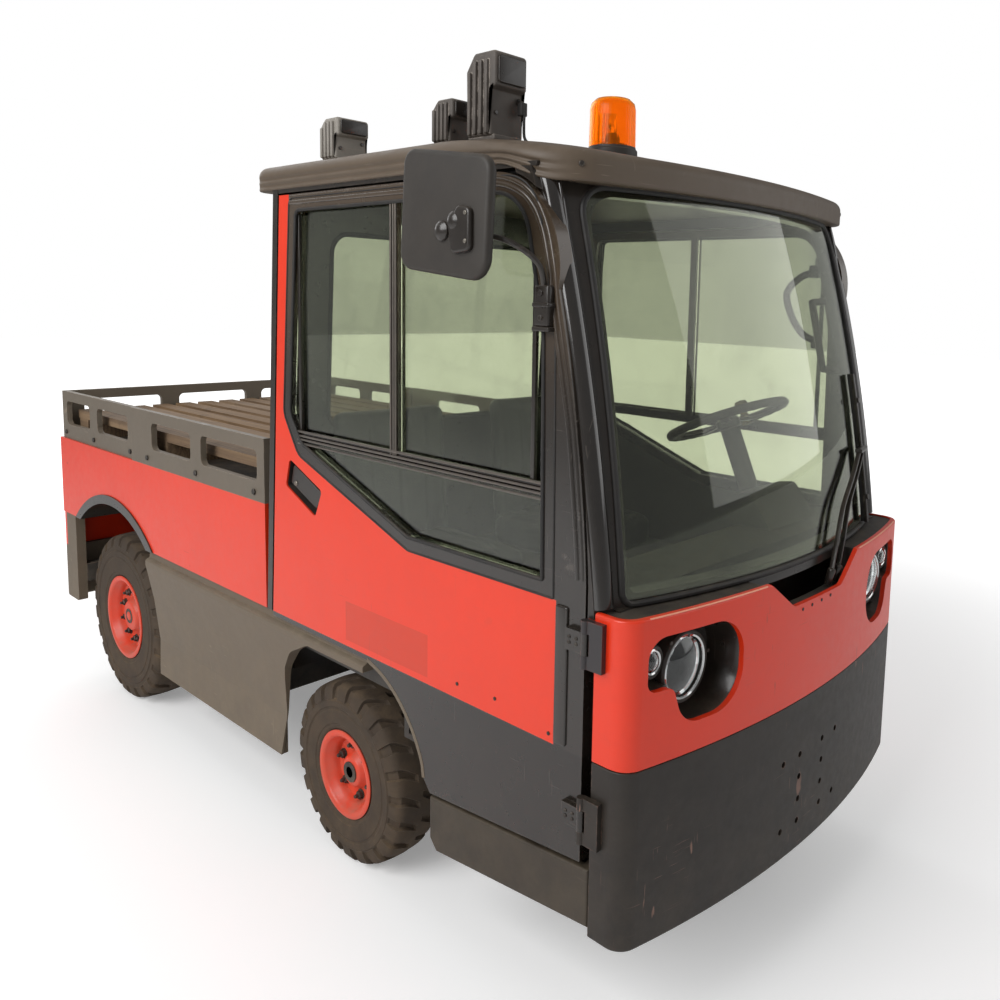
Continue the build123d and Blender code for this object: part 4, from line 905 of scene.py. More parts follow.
@dataclass
class Wheel:
    """One wheel: treaded solid tyre, deep dished rim, hub cap and nuts.

    Attributes:
        name: Front or rear, with its side.
        side: Its side.
        y: Axle place along Y.
        radius: Tyre radius.
        rim_radius: Radius where the tyre sits on the rim.
        width: Tyre width.
        lugs: Lugs round the tread.
        nuts: Wheel nuts.
        dish: Depth of the disc behind the wheel's outer face.
    """

    name: str
    side: Side
    y: float
    radius: float
    rim_radius: float
    width: float
    lugs: int
    nuts: int
    dish: float
    face: float = 0.604
    lug_height: float = 0.013
    columns: int = 12

    @property
    def body(self) -> str:
        """The body that the wheel rides on."""
        return f"{self.name}_wheel_{self.side.word}"

    def rows(self) -> np.ndarray:
        """Half profile of the tyre, doubled.

        Returns:
            Rows of (distance inwards from the face, radius, how deep the grooves cut, place across -1..1).
        """
        r, w, b = self.radius, self.width, self.rim_radius
        flange = b + 0.018
        mid = (flange + r) / 2
        half = [
            (0.014, b, 0, -1), (0.012, flange - 0.002, 0, -1), (0.007, flange + 0.003, 0, -1),
            (0.004, flange + 0.010, 0, -1), (0.004, flange + 0.016, 0, -1), (0.0015, flange + 0.019, 0, -1),
            (0.001, mid - 0.012, 0, -1), (0.003, mid - 0.009, 0, -1), (0.003, mid - 0.004, 0, -1),
            (0.0, mid, 0, -1), (0.0, mid + 0.016, 0, -1), (0.0035, mid + 0.020, 0, -1),
            (0.0045, r - 0.052, 0.0, -1), (0.002, r - 0.048, 0.12, -1), (0.003, r - 0.040, 0.75, -1),
            (0.006, r - 0.026, 1.0, -1), (0.010, r - 0.016, 1.0, -1), (0.017, r - 0.008, 1.0, -0.96),
            (0.027, r - 0.004, 1.0, -0.82), (0.16 * w + 0.012, r - 0.0025, 1.0, -0.62),
            (0.34 * w, r - 0.001, 0.95, -0.36), (0.43 * w, r, 0.85, -0.16), (0.465 * w, r, 0.0, -0.08),
            (0.49 * w, r, 0.0, -0.02),
        ]
        left = np.array(half, float)
        right = left[::-1] * np.array([-1.0, 1.0, 1.0, -1.0]) + np.array([w, 0, 0, 0])
        return np.vstack([left, right])

    def tyre(self) -> Shape:
        """Tread as a function of the turn and the place across.

        Each pitch has twelve columns. Away from the middle they close up on the two walls of a groove,
        whose width grows outwards, and the far half is half a pitch behind. The columns lean with the
        sine of the place across, so that the lugs curve. A groove point sinks by the lug height.

        Returns:
            The closed tyre.
        """
        a, r, cut, t = self.rows().T
        base = np.arange(self.columns) / self.columns
        span = np.abs(t)[:, None]
        wide = 0.10 + 0.085 * span
        wall = 0.022
        near = np.concatenate([
            np.zeros((len(t), 1)), 0.25 - wide - wall, 0.25 - wide + wall, np.full((len(t), 1), 0.25),
            0.25 + wide - wall, 0.25 + wide + wall, np.full((len(t), 1), 0.5),
            np.broadcast_to(0.5 + 0.5 * np.arange(1, 6) / 6, (len(t), 5))], 1)
        deep = np.array([0, 0, 1, 1, 1, 0, 0, 0, 0, 0, 0, 0], float)
        far = np.roll(near, 6, 1) + np.where(np.arange(12) < 6, -0.5, 0.5)[None]
        is_far = (t > 0)[:, None]
        blend = np.clip((span - 0.05) / 0.1, 0, 1)
        place = (1 - blend) * base[None] + blend * np.where(is_far, far, near)
        depth = np.where(is_far, np.roll(deep, 6)[None], deep[None]) * cut[:, None] * self.lug_height
        lean = 0.42 * np.sin(t * np.pi / 2)[:, None]
        pitch = 2 * np.pi / self.lugs
        turn = (np.arange(self.lugs)[None, :, None] + (place + lean)[:, None, :]) * pitch
        turn = turn.reshape(len(t), -1)
        depth = np.tile(depth, (1, self.lugs))
        slope = np.clip(np.abs(t), 0, 1) ** 8
        radius = r[:, None] - depth * (1 - 0.45 * slope[:, None])
        inward = np.where(a < self.width / 2, 1.0, -1.0)[:, None]
        x = self.face - a[:, None] - inward * depth * 0.55 * slope[:, None]
        grid = np.stack([x, self.y + radius * np.cos(turn), self.radius + radius * np.sin(turn)], -1)
        return skin(grid, wrap_rows=True)

    def rim(self) -> Shape:
        """Dished rim as a lathe, with its barrel, disc, raised hub and cap."""
        b, w, d = self.rim_radius, self.width, self.dish
        lip = b + 0.016
        disc = b - 0.030
        hub = 0.40 * b
        profile = [
            (0.010, b - 0.0005), (0.010, lip - 0.003), (0.0085, lip), (0.005, lip + 0.0005),
            (0.003, lip - 0.002),
            (0.003, b + 0.003), (0.005, b - 0.001), (0.010, b - 0.006), (0.022, b - 0.010),
            (0.026, b - 0.016),
            (d - 0.012, b - 0.020), (d - 0.003, b - 0.023), (d, disc - 0.004), (d, hub + 0.016),
            (d - 0.004, hub + 0.008), (d - 0.020, hub), (d - 0.024, hub - 0.004), (d - 0.026, hub - 0.012),
            (d - 0.026, 0.020), (d - 0.030, 0.016), (d - 0.030, 0.0),
        ]
        outer = [(-s, r) for s, r in profile]
        back = [(-(w - 0.003), 0.0), (-(w - 0.003), lip), (-(w - 0.010), lip), (-(w - 0.010), b - 0.0005)]
        ring = lathe(outer[::-1] + back[::-1], (self.face, self.y, self.radius), (1.0, 0.0, 0.0), 96)
        return ring

    def nut_ring(self) -> Shape:
        """Hexagon nuts with studs, evenly round the disc."""
        t = np.linspace(0, 2 * np.pi, self.nuts, endpoint=False) + 0.3
        reach = self.rim_radius * 0.66
        x = self.face - self.dish
        places = [(x, self.y + reach * math.cos(k), self.radius + reach * math.sin(k)) for k in t]
        nuts = heads(places, (1.0, 0.0, 0.0), 0.0125, 0.014)
        studs = heads([(p[0] + 0.012, p[1], p[2]) for p in places], (1.0, 0.0, 0.0), 0.006, 0.012, 12)
        washers = heads(places, (1.0, 0.0, 0.0), 0.016, 0.003, 20)
        return nuts + studs + washers

    def build(self, paints: Paints) -> None:
        """Builds and dresses the wheel's pieces.

        Args:
            paints: The materials.
        """
        name, word = self.name, self.side.word
        self.tyre().on_side(self.side).piece(f"{name}_tread_{word}", paints["rubber"], self.body, "tyre",
                                             (f"{name}_tyre_{word}",), sharp=32)
        self.rim().on_side(self.side).piece(f"{name}_dish_{word}", paints["rim_red"], self.body, "red_paint",
                                            (f"{name}_rim_{word}",), sharp=50)
        self.nut_ring().on_side(self.side).piece(f"{name}_nuts_{word}", paints["dark_steel"], self.body,
                                                 "bare_steel", sharp=25)


# ---------------------------------------------------------------- nose


def nose_face(x: float | np.ndarray) -> float | np.ndarray:
    """Y of the bowed nose at a distance from the middle: the arc that bows 84 mm over the width."""
    bow = 0.084
    radius = (HALF_WIDTH ** 2 + bow ** 2) / (2 * bow)
    return at(0.0) + radius - np.sqrt(radius ** 2 - np.asarray(x, float) ** 2)


@dataclass
class Headlamps:
    """Both headlamp pods with their round main and side lamps.

    Attributes:
        main: (distance from the middle, height) of the main lamp.
        small: The same of the side lamp.
        main_radius: Radius of the main glass.
        small_radius: Radius of the side glass.
        depth: How far the pod's floor lies behind the nose.
    """

    main: tuple[float, float] = (0.454, 0.884)
    small: tuple[float, float] = (0.561, 0.922)
    main_radius: float = 0.076
    small_radius: float = 0.031
    depth: float = 0.072

    def opening(self, grow: float) -> np.ndarray:
        """Egg-shaped outline of the opening: six corners about the main lamp, each with its own radius.

        Args:
            grow: How far outside the true edge it runs.

        Returns:
            The outline in (x, z).
        """
        table = np.array([(0.143, 0.100, 0.048, 1.0, 1.0), (-0.1395, 0.100, 0.092, -1.0, 1.0),
                          (-0.1395, -0.109, 0.092, -1.0, -1.0), (0.044, -0.109, 0.065, 0.7, -1.0),
                          (0.074, -0.016, 0.022, 0.7, -1.0), (0.143, -0.016, 0.024, 1.0, -1.0)])
        corners = table[:, :2] + grow * table[:, 3:] + np.array(self.main)
        radii = table[:, 2] + grow * np.array([1, 1, 1, 1, -1, 1])
        return rounded(corners.tolist(), radii.tolist(), 12)

    def pod(self) -> Shape:
        """Tunnel behind the opening: the outline carried back, drawn in slightly, with a closed floor."""
        rings = []
        for grow, back in ((0.010, 0.0135), (0.0005, 0.0135), (-0.002, 0.020), (-0.006, 0.045),
                           (-0.012, self.depth),
                           (-0.012, self.depth + 0.004), (0.010, self.depth + 0.004)):
            line = self.opening(grow)
            face = nose_face(line[:, 0]) if back < 0.05 else np.full(len(line), nose_face(self.main[0]))
            rings.append(np.stack([line[:, 0], face + back, line[:, 1]], -1))
        floor = rings[4]
        middle = floor.mean(0)
        grid = [rings[0], rings[1], rings[2], rings[3], rings[4]]
        grid += [middle + (floor - middle) * share for share in (0.6, 0.2)]
        front = np.stack(grid)
        back = np.stack([rings[0] + np.array([0, 0.004, 0])] + [rings[6]])
        shell = skin(np.concatenate([back[::-1], front]))
        return shell

    def lamp(self, centre: Point, radius: float, dome: float) -> dict[str, Shape]:
        """One round lamp: black ring, chrome bezel, reflector bowl with bulb, domed glass.

        Args:
            centre: Middle of the glass's rim.
            radius: Radius of the glass.
            dome: How far the glass bulges.

        Returns:
            Shapes by finish name.
        """
        out = (0.0, -1.0, 0.0)
        r = radius
        ring = lathe([(-0.030, r + 0.006), (0.000, r + 0.006), (0.004, r + 0.003), (0.0045, r),
                      (0.002, r - 0.002),
                      (-0.030, r - 0.002)], centre, out, 64)
        bezel = lathe([(-0.012, r - 0.0022), (0.0025, r - 0.0022), (0.0045, r - 0.005), (0.003, r - 0.009),
                       (-0.004, r - 0.011), (-0.012, r - 0.011)], centre, out, 64)
        s = np.linspace(0, 1, 14)
        bowl_r = (r - 0.009) * s
        bowl = [(-0.045 + 0.040 * v ** 2, float(q)) for v, q in zip(s, bowl_r)]
        bowl += [(-0.008, r - 0.0085), (-0.050, r - 0.0085), (-0.050, 0.0)]
        reflector = lathe(bowl, centre, out, 64)
        bulb = lathe([(-0.046, 0.0), (-0.046, 0.008), (-0.030, 0.008), (-0.024, 0.006), (-0.020, 0.0)],
                     centre, out, 20)
        u = np.linspace(0, 1, 12)
        front = [(0.001 + dome * (1 - float(v) ** 2), float(v) * (r - 0.006)) for v in u]
        back = [(-0.002 + dome * (1 - float(v) ** 2), float(v) * (r - 0.006)) for v in u[::-1]]
        glass = lathe(front + back, centre, out, 64)
        return {"moulded_black": ring, "chrome": bezel + reflector, "faded_grey": bulb, "lamp_glass": glass}

    def build(self, paints: Paints) -> None:
        """Builds and dresses both headlamps.

        Args:
            paints: The materials.
        """
        floor = float(nose_face(self.main[0])) + self.depth
        main = self.lamp((self.main[0], floor - 0.030, self.main[1]), self.main_radius, 0.020)
        small = self.lamp((self.small[0], floor - 0.022, self.small[1]), self.small_radius, 0.012)
        screws = heads([(self.main[0] + (self.main_radius + 0.011) * math.cos(k), floor - 0.030,
                         self.main[1] + (self.main_radius + 0.011) * math.sin(k)) for k in (0.9, 3.0, 5.1)],
                       (0.0, -1.0, 0.0), 0.0045, 0.004, 16)
        for side in Side:
            self.pod().on_side(side).piece(f"headlamp_pod_{side.word}", paints["satin_black"], "vehicle",
                                           "black_paint", ("headlamps",), sharp=40)
            for finish, slot in (("moulded_black", "plastic"), ("chrome", "lamp"), ("lamp_glass", "lamp"),
                                 ("faded_grey", "lamp")):
                both = main[finish] + small[finish]
                both.on_side(side).piece(f"headlamp_{finish}_{side.word}", paints[finish], "vehicle", slot)
            screws.on_side(side).piece(f"headlamp_screws_{side.word}", paints["dark_steel"], "vehicle",
                                       "bare_steel")


# ---------------------------------------------------------------- cab


def screen_place(x: np.ndarray, z: np.ndarray, proud: float) -> np.ndarray:
    """Points before the windscreen: the middle line leans and bellies, and the plan is an arc of 1.8 m.

    y = foot + share (head - foot) - 4 belly share (1 - share) + sag - proud, with sag = R - sqrt(R^2 - x^2).

    Args:
        x: Distances from the middle.
        z: Heights.
        proud: How far before the glass.

    Returns:
        The points, shape (n, 3).
    """
    share = (z - 1.030) / 0.888
    middle = 0.056 + share * 0.182 - 0.080 * share * (1 - share)
    radius = 1.8 - (middle - 0.056)
    sag = radius - np.sqrt(radius ** 2 - x ** 2)
    return np.stack([x, at(0.0) + middle + sag - proud, z], -1)


@dataclass
class Screen:
    """Rubber seal round the windscreen, pillar mouldings with their flutes and screws, and the wiper."""

    half: float = 0.590
    taper: float = 0.028
    low: float = 1.030
    high: float = 1.918
    pillar_x: float = 0.622

    def outline(self, inset_by: float, steps: int = 10) -> np.ndarray:
        """Outline of the glass in (x, z), its long sides divided evenly.

        Args:
            inset_by: How far inside the glass's edge.
            steps: Places on each corner arc.

        Returns:
            The outline.
        """
        h, lo, hi = self.half - inset_by, self.low + inset_by, self.high - inset_by
        corners = [(-h, lo), (h, lo), (h - self.taper, hi), (-h + self.taper, hi)]
        return evenly(rounded(corners, [0.024, 0.024, 0.070, 0.070], steps), 260)

    def seal(self) -> Shape:
        """Rubber bead carried round the glass's edge on its curved face."""
        line = self.outline(0.004)
        path = screen_place(line[:, 0], line[:, 1], 0.001)
        return sweep(path, circle(0.0075, 10), (0.0, 1.0, 0.02), closed=True)

    def moulding(self) -> Shape:
        """Half-round bead up the left pillar, drawn in slightly towards its top."""
        z = np.linspace(1.034, 1.925, 40)
        x = self.pillar_x - 0.028 * (z - self.low) / 0.888 * 0.4
        path = screen_place(x, z, -0.009)
        return sweep(path, circle(0.026, 20) * np.array([1.0, 0.85]), (0.0, 1.0, 0.0))

    def flutes(self) -> Shape:
        """Two short ribs down the head of the left pillar that run out to nothing."""
        z = np.linspace(1.925, 1.740, 24)
        share = np.linspace(0, 1, 24)
        made = []
        for shift in (-0.008, 0.009):
            x = self.pillar_x + shift - 0.010 + 0.006 * share
            path = screen_place(x, z, 0.0100 - 0.010 * share ** 2)
            rib = sweep(path, circle(0.0052, 10), (0.0, 1.0, 0.0))
            made.append(rib)
        return together(made)

    def screws(self) -> Shape:
        """Round-headed screws down the left pillar."""
        z = np.array([1.86, 1.755, 1.70, 1.30, 1.12])
        places = screen_place(np.full(len(z), self.pillar_x - 0.004), z, 0.0065)
        return heads([tuple(p) for p in places], (0.15, -1.0, 0.1), 0.0055, 0.004, 14)

    def wiper(self) -> dict[str, Shape]:
        """Twin arms on their pivots, the cross link and a long blade with its rubber.

        Returns:
            Shapes by finish name.
        """
        arms, rubber = None, None
        for x in (0.110, 0.156):
            knots = np.array([[x, 0.985], [x + 0.050, 1.060], [x + 0.108, 1.138], [x + 0.200, 1.200],
                              [x + 0.300, 1.262]])
            line = curve_through([(k[0], 0.0, k[1]) for k in knots], 8)
            path = screen_place(line[:, 0], line[:, 2], 0.026)
            arm = sweep(path, rectangle(0.006, 0.013, 0.002, 3), (0.0, 1.0, 0.0))
            base = path[0]
            pivot = lathe([(-0.034, 0.009), (0.006, 0.011), (0.010, 0.009), (0.012, 0.0)], tuple(base),
                          (0.0, -0.25, 1.0), 20)
            arms = arm + pivot if arms is None else arms + arm + pivot
        link = screen_place(np.linspace(0.398, 0.480, 8), np.full(8, 1.262), 0.027)
        arms = arms + sweep(link, rectangle(0.012, 0.020, 0.003, 3), (0.0, 1.0, 0.0))
        z = np.linspace(1.045, 1.475, 30)
        x = np.full(30, 0.466)
        arms = arms + sweep(screen_place(x, z, 0.019), rectangle(0.010, 0.010, 0.002, 3), (0.0, 1.0, 0.0))
        rubber = sweep(screen_place(x, z, 0.0085), rectangle(0.0045, 0.012, 0.001, 3), (0.0, 1.0, 0.0))
        ends = [tuple(p) for p in screen_place(np.array([0.466, 0.466]), np.array([1.12, 1.40]), 0.026)]
        return {"satin_black": arms + heads(ends, (0.0, -1.0, 0.2), 0.008, 0.005, 12), "seal_rubber": rubber}

    def build(self, paints: Paints) -> None:
        """Builds and dresses the pieces.

        Args:
            paints: The materials.
        """
        self.seal().piece("windscreen_seal", paints["seal_rubber"], "vehicle", "plastic")
        for side in Side:
            self.moulding().on_side(side).piece(f"pillar_moulding_{side.word}", paints["gloss_black"],
                                                "vehicle",
                                                "black_paint")
            self.flutes().on_side(side).piece(f"pillar_flutes_{side.word}", paints["gloss_black"], "vehicle",
                                              "black_paint")
            self.screws().on_side(side).piece(f"pillar_screws_{side.word}", paints["bare_steel"], "vehicle",
                                              "bare_steel")
        wiper = self.wiper()
        wiper["satin_black"].piece("wiper_arms", paints["satin_black"], "vehicle", "plastic", ("wiper",))
        wiper["seal_rubber"].piece("wiper_rubber", paints["seal_rubber"], "vehicle", "plastic")


@dataclass
class DoorTrim:
    """Trim that rides on one door: ridged frame, window seal and tracks, screws, lock and front strip.

    Attributes:
        side: The door's side.
        face: Distance of the door's outer face from the middle.
    """

    side: Side
    face: float = 0.650

    @property
    def body(self) -> str:
        """The body that the trim rides on."""
        return f"door_{self.side.word}"

    def window(self, inset_by: float) -> np.ndarray:
        """Window outline in (y, z), with the corner radii of the opening.

        Args:
            inset_by: How far inside the opening in the red skin.

        Returns:
            The outline.
        """
        i = inset_by
        corners = [(0.292 + i, 1.030 + i), (0.806, 1.030 + i), (1.322 - 0.6 * i, 1.206 + i),
                   (1.398 - i, 1.320),
                   (1.352 - i, 1.932 - i), (0.368 + i, 1.932 - i), (0.300 + i, 1.600)]
        line = rounded([(at(y), z) for y, z in corners], [0.004, 0.050, 0.060, 0.060, 0.022, 0.110, 0.300],
                       10)
        return line

    def along(self, line: np.ndarray, x: float) -> np.ndarray:
        """Side-view line placed at a distance x from the middle."""
        return np.column_stack([np.full(len(line), x), line])

    def edge_line(self, inset_by: float) -> np.ndarray:
        """Line inside the door's top and front edge, from the rear top corner down to the waist.

        Args:
            inset_by: Distance inside the edge.

        Returns:
            Points in (y, z).
        """
        knots = [(1.346, 1.940), (1.150, 1.940), (0.850, 1.940), (0.600, 1.940), (0.500, 1.939),
                 (0.430, 1.924),
                 (0.372, 1.890), (0.328, 1.824), (0.304, 1.740), (0.290, 1.650), (0.262, 1.520),
                 (0.238, 1.400),
                 (0.222, 1.280), (0.209, 1.160), (0.204, 1.090)]
        line = curve_through([(0.0, at(y), z) for y, z in knots], 6)[:, 1:]
        step = np.gradient(line, axis=0)
        step /= np.linalg.norm(step, axis=1, keepdims=True)
        return line + inset_by * np.stack([-step[:, 1], step[:, 0]], -1)

    def ridges(self) -> Shape:
        """Two soft parallel ribs along the door's top and front edge."""
        made = []
        for inset_by, radius in ((0.007, 0.0070), (0.022, 0.0080)):
            path = self.along(self.edge_line(inset_by), self.face - 0.0040)
            rib = sweep(path, circle(radius, 12), (1.0, 0.0, 0.0))
            made.append(rib)
        return together(made)

    def seal(self) -> Shape:
        """Rubber bead round the glass, proud of the frame."""
        return sweep(self.along(self.window(0.036), self.face + 0.0005), circle(0.0048, 10), (1.0, 0.0, 0.0),
                     closed=True)

    def rim_line(self) -> Shape:
        """Thin bead where the dark frame meets the red skin."""
        return sweep(self.along(self.window(0.0015), self.face), circle(0.0026, 8), (1.0, 0.0, 0.0),
                     closed=True)

    def tracks(self) -> Shape:
        """Runners of the sliding panes: four rails along the transom and three up the meeting bars."""
        shape = None
        for z, radius, x in ((1.242, 0.0035, 0.6475), (1.254, 0.0030, 0.6490), (1.264, 0.0030, 0.6490),
                             (1.276, 0.0035, 0.6475)):
            path = np.array([[x, at(0.330), z], [x, at(0.8), z], [x, at(1.322), z]])
            rail = sweep(path, circle(radius, 10), (0.0, 0.0, 1.0))
            shape = rail if shape is None else shape + rail
        for y in (0.859, 0.868, 0.879):
            path = np.array([[0.6475, at(y), 1.268], [0.6475, at(y), 1.6], [0.6475, at(y), 1.892]])
            shape = shape + sweep(path, circle(0.0032, 10), (1.0, 0.0, 0.0))
        return shape

    def panes(self) -> Shape:
        """Frames of the two sliding panes: thin upright bars at their outer ends."""
        made = []
        for y, top in ((0.372, 1.78), (1.318, 1.885)):
            bar = block((0.634, at(y) - 0.006, 1.275), (0.644, at(y) + 0.006, top), 0.002)
            made.append(bar)
        return together(made)

    def strip(self) -> Shape:
        """Proud plate on the door's front strip, its top edge rolled over."""
        outline = rounded([(at(0.247), 0.712), (at(0.283), 0.712), (at(0.283), 1.024), (at(0.247), 1.024)],
                          0.006, 4)
        return slab(outline, self.face - 0.004, self.face + 0.0055, 0.004, SIDE_VIEW, (0.0, 0.0, 0.0))

    def arch_lip(self) -> Shape:
        """Bead along the door's edge over the front wheel."""
        knots = [(0.740, 0.452), (0.752, 0.500), (0.792, 0.568), (0.850, 0.628), (0.915, 0.669),
                 (0.985, 0.6925)]
        line = curve_through([(self.face - 0.002, at(y), z) for y, z in knots], 8)
        return sweep(line, rectangle(0.012, 0.007, 0.002, 3), (1.0, 0.0, 0.0))

    def screws(self) -> Shape:
        """Small screws and studs in the skin."""
        places = [(self.face, at(y), z) for y, z in ((0.610, 0.742), (0.475, 0.748), (0.300, 0.725))]
        low = heads(places, (1.0, 0.0, 0.0), 0.0045, 0.002, 14)
        leaf = [(self.face + 0.013, at(y), z) for y in (0.212, 0.232) for z in (0.956, 0.968, 0.568, 0.580)]
        return low + heads(leaf, (1.0, 0.0, 0.0), 0.0042, 0.003, 14)

    def lock(self) -> Shape:
        """Round key lock in the handle's recess."""
        return lathe([(-0.010, 0.008), (0.000, 0.008), (0.002, 0.0065), (0.002, 0.004), (0.0, 0.003),
                      (0.0, 0.0)],
                     (self.face - 0.009, at(1.352), 1.118), (1.0, 0.0, 0.0), 24)

    def build(self, paints: Paints) -> None:
        """Builds and dresses the trim.

        Args:
            paints: The materials.
        """
        for name, shape, finish, slot in (
                ("ridges", self.ridges(), "door_black", "black_paint"),
                ("window_seal", self.seal(), "seal_rubber", "plastic"),
                ("window_bead", self.rim_line(), "seal_rubber", "plastic"),
                ("window_tracks", self.tracks(), "track_alloy", "bare_steel"),
                ("pane_bars", self.panes(), "satin_black", "plastic"),
                ("front_strip", self.strip(), "door_black", "black_paint"),
                ("arch_lip", self.arch_lip(), "sill_grey", "grey_trim"),
                ("screws", self.screws(), "dark_steel", "bare_steel"),
                ("lock", self.lock(), "bare_steel", "bare_steel")):
            shape.on_side(self.side).piece(f"door_{name}_{self.side.word}", paints[finish], self.body, slot)


@dataclass
class Mirrors:
    """Right mirror folded along the door, and the bare clamp on the left arm.

    Attributes:
        inner: Distance of the head's inner face from the middle.
        outer: Distance of its back.
    """

    inner: float = 0.766
    outer: float = 0.800

    def arm(self) -> Shape:
        """Bent tube from the foot, with the clamped foot on the door frame."""
        line = curve_through([(0.658, at(0.327), 1.640), (0.660, at(0.327), 1.690), (0.684, at(0.324), 1.742),
                              (0.728, at(0.360), 1.782), (0.762, at(0.430), 1.802)], 10)
        tube = sweep(line, circle(0.0062, 14), (0.0, 1.0, 0.1))
        foot = block((0.648, at(0.306), 1.612), (0.670, at(0.348), 1.698), 0.005)
        bands = [block((0.647, at(0.302), z), (0.673, at(0.352), z + 0.010), 0.003) for z in (1.602, 1.652)]
        screws = heads([(0.670, at(0.327), 1.630), (0.670, at(0.327), 1.682)], (1.0, 0.0, 0.0), 0.006, 0.004,
                       12)
        return tube + foot + bands[0] + bands[1] + screws

    def outline(self) -> np.ndarray:
        """Round-cornered outline of the head in (y, z)."""
        corners = [(0.372, 1.706), (0.640, 1.736), (0.624, 1.976), (0.358, 1.940)]
        return inset(rounded([(at(y), z) for y, z in corners], [0.040, 0.030, 0.026, 0.030], 9), -0.008)

    def head(self) -> Shape:
        """Housing: a rounded plate whose back swells a little."""
        return slab(self.outline(), self.inner + 0.002, self.outer - 0.008, 0.011, SIDE_VIEW, (0.0, 0.0, 0.0),
                    crown=0.008, steps=6)

    def glass(self) -> Shape:
        """Mirror glass, set in the inner face."""
        line = inset(self.outline(), 0.012)
        return slab(line, self.inner, self.inner + 0.006, 0.001, SIDE_VIEW, (0.0, 0.0, 0.0), steps=2)

    def knuckle(self) -> Shape:
        """Ball clamp on the back of the head, with its cap and cover; its two screws are built with the
        mirror.
        """
        y, z = at(0.447), 1.807
        ball = lathe([(-0.016, 0.016), (-0.004, 0.022), (0.004, 0.020), (0.010, 0.012), (0.012, 0.0)],
                     (self.outer, y, z), (1.0, 0.0, 0.0), 32)
        cover = slab(rounded([(y - 0.052, z - 0.046), (y + 0.006, z - 0.052), (y + 0.018, z + 0.006),
                              (y - 0.012, z + 0.046), (y - 0.052, z + 0.040)], 0.014, 5), self.outer - 0.010,
                     self.outer + 0.007, 0.006, SIDE_VIEW, (0.0, 0.0, 0.0))
        cap = ball.moved(0.0, 0.0, 0.014)
        return ball.moved(0.0, 0.040, -0.004) + cap + cover

    def build(self, paints: Paints) -> None:
        """Builds and dresses both mirrors.

        Args:
            paints: The materials.
        """
        right, left = Side.RIGHT, Side.LEFT
        self.arm().on_side(right).piece("mirror_arm_right", paints["satin_black"], "door_right", "plastic",
                                        ("mirror_right",))
        self.head().on_side(right).piece("mirror_head_right", paints["moulded_black"], "door_right",
                                         "plastic")
        self.glass().on_side(right).piece("mirror_glass_right", paints["chrome"], "door_right", "glass")
        self.knuckle().on_side(right).piece("mirror_knuckle_right", paints["satin_black"], "door_right",
                                            "plastic")
        y, z = at(0.430), 1.800
        screws = heads([(self.outer + 0.007, y - 0.024, z - 0.020),
                        (self.outer + 0.007, y - 0.024, z + 0.036)],
                       (1.0, 0.0, 0.0),
                       0.0045, 0.003, 14)
        screws.on_side(right).piece("mirror_screws_right", paints["bare_steel"], "door_right", "bare_steel")
        clamp = block((0.742, at(0.398), 1.768), (0.800, at(0.462), 1.832), 0.008)
        cap = block((0.750, at(0.392), 1.780), (0.790, at(0.400), 1.820), 0.004)
        self.arm().piece("mirror_arm_left", paints["satin_black"], "door_left", "plastic", ("mirror_left",))
        (clamp + cap).piece("mirror_clamp_left", paints["moulded_black"], "door_left", "plastic")
        log.info("mirrors done, %s and %s", right.word, left.word)


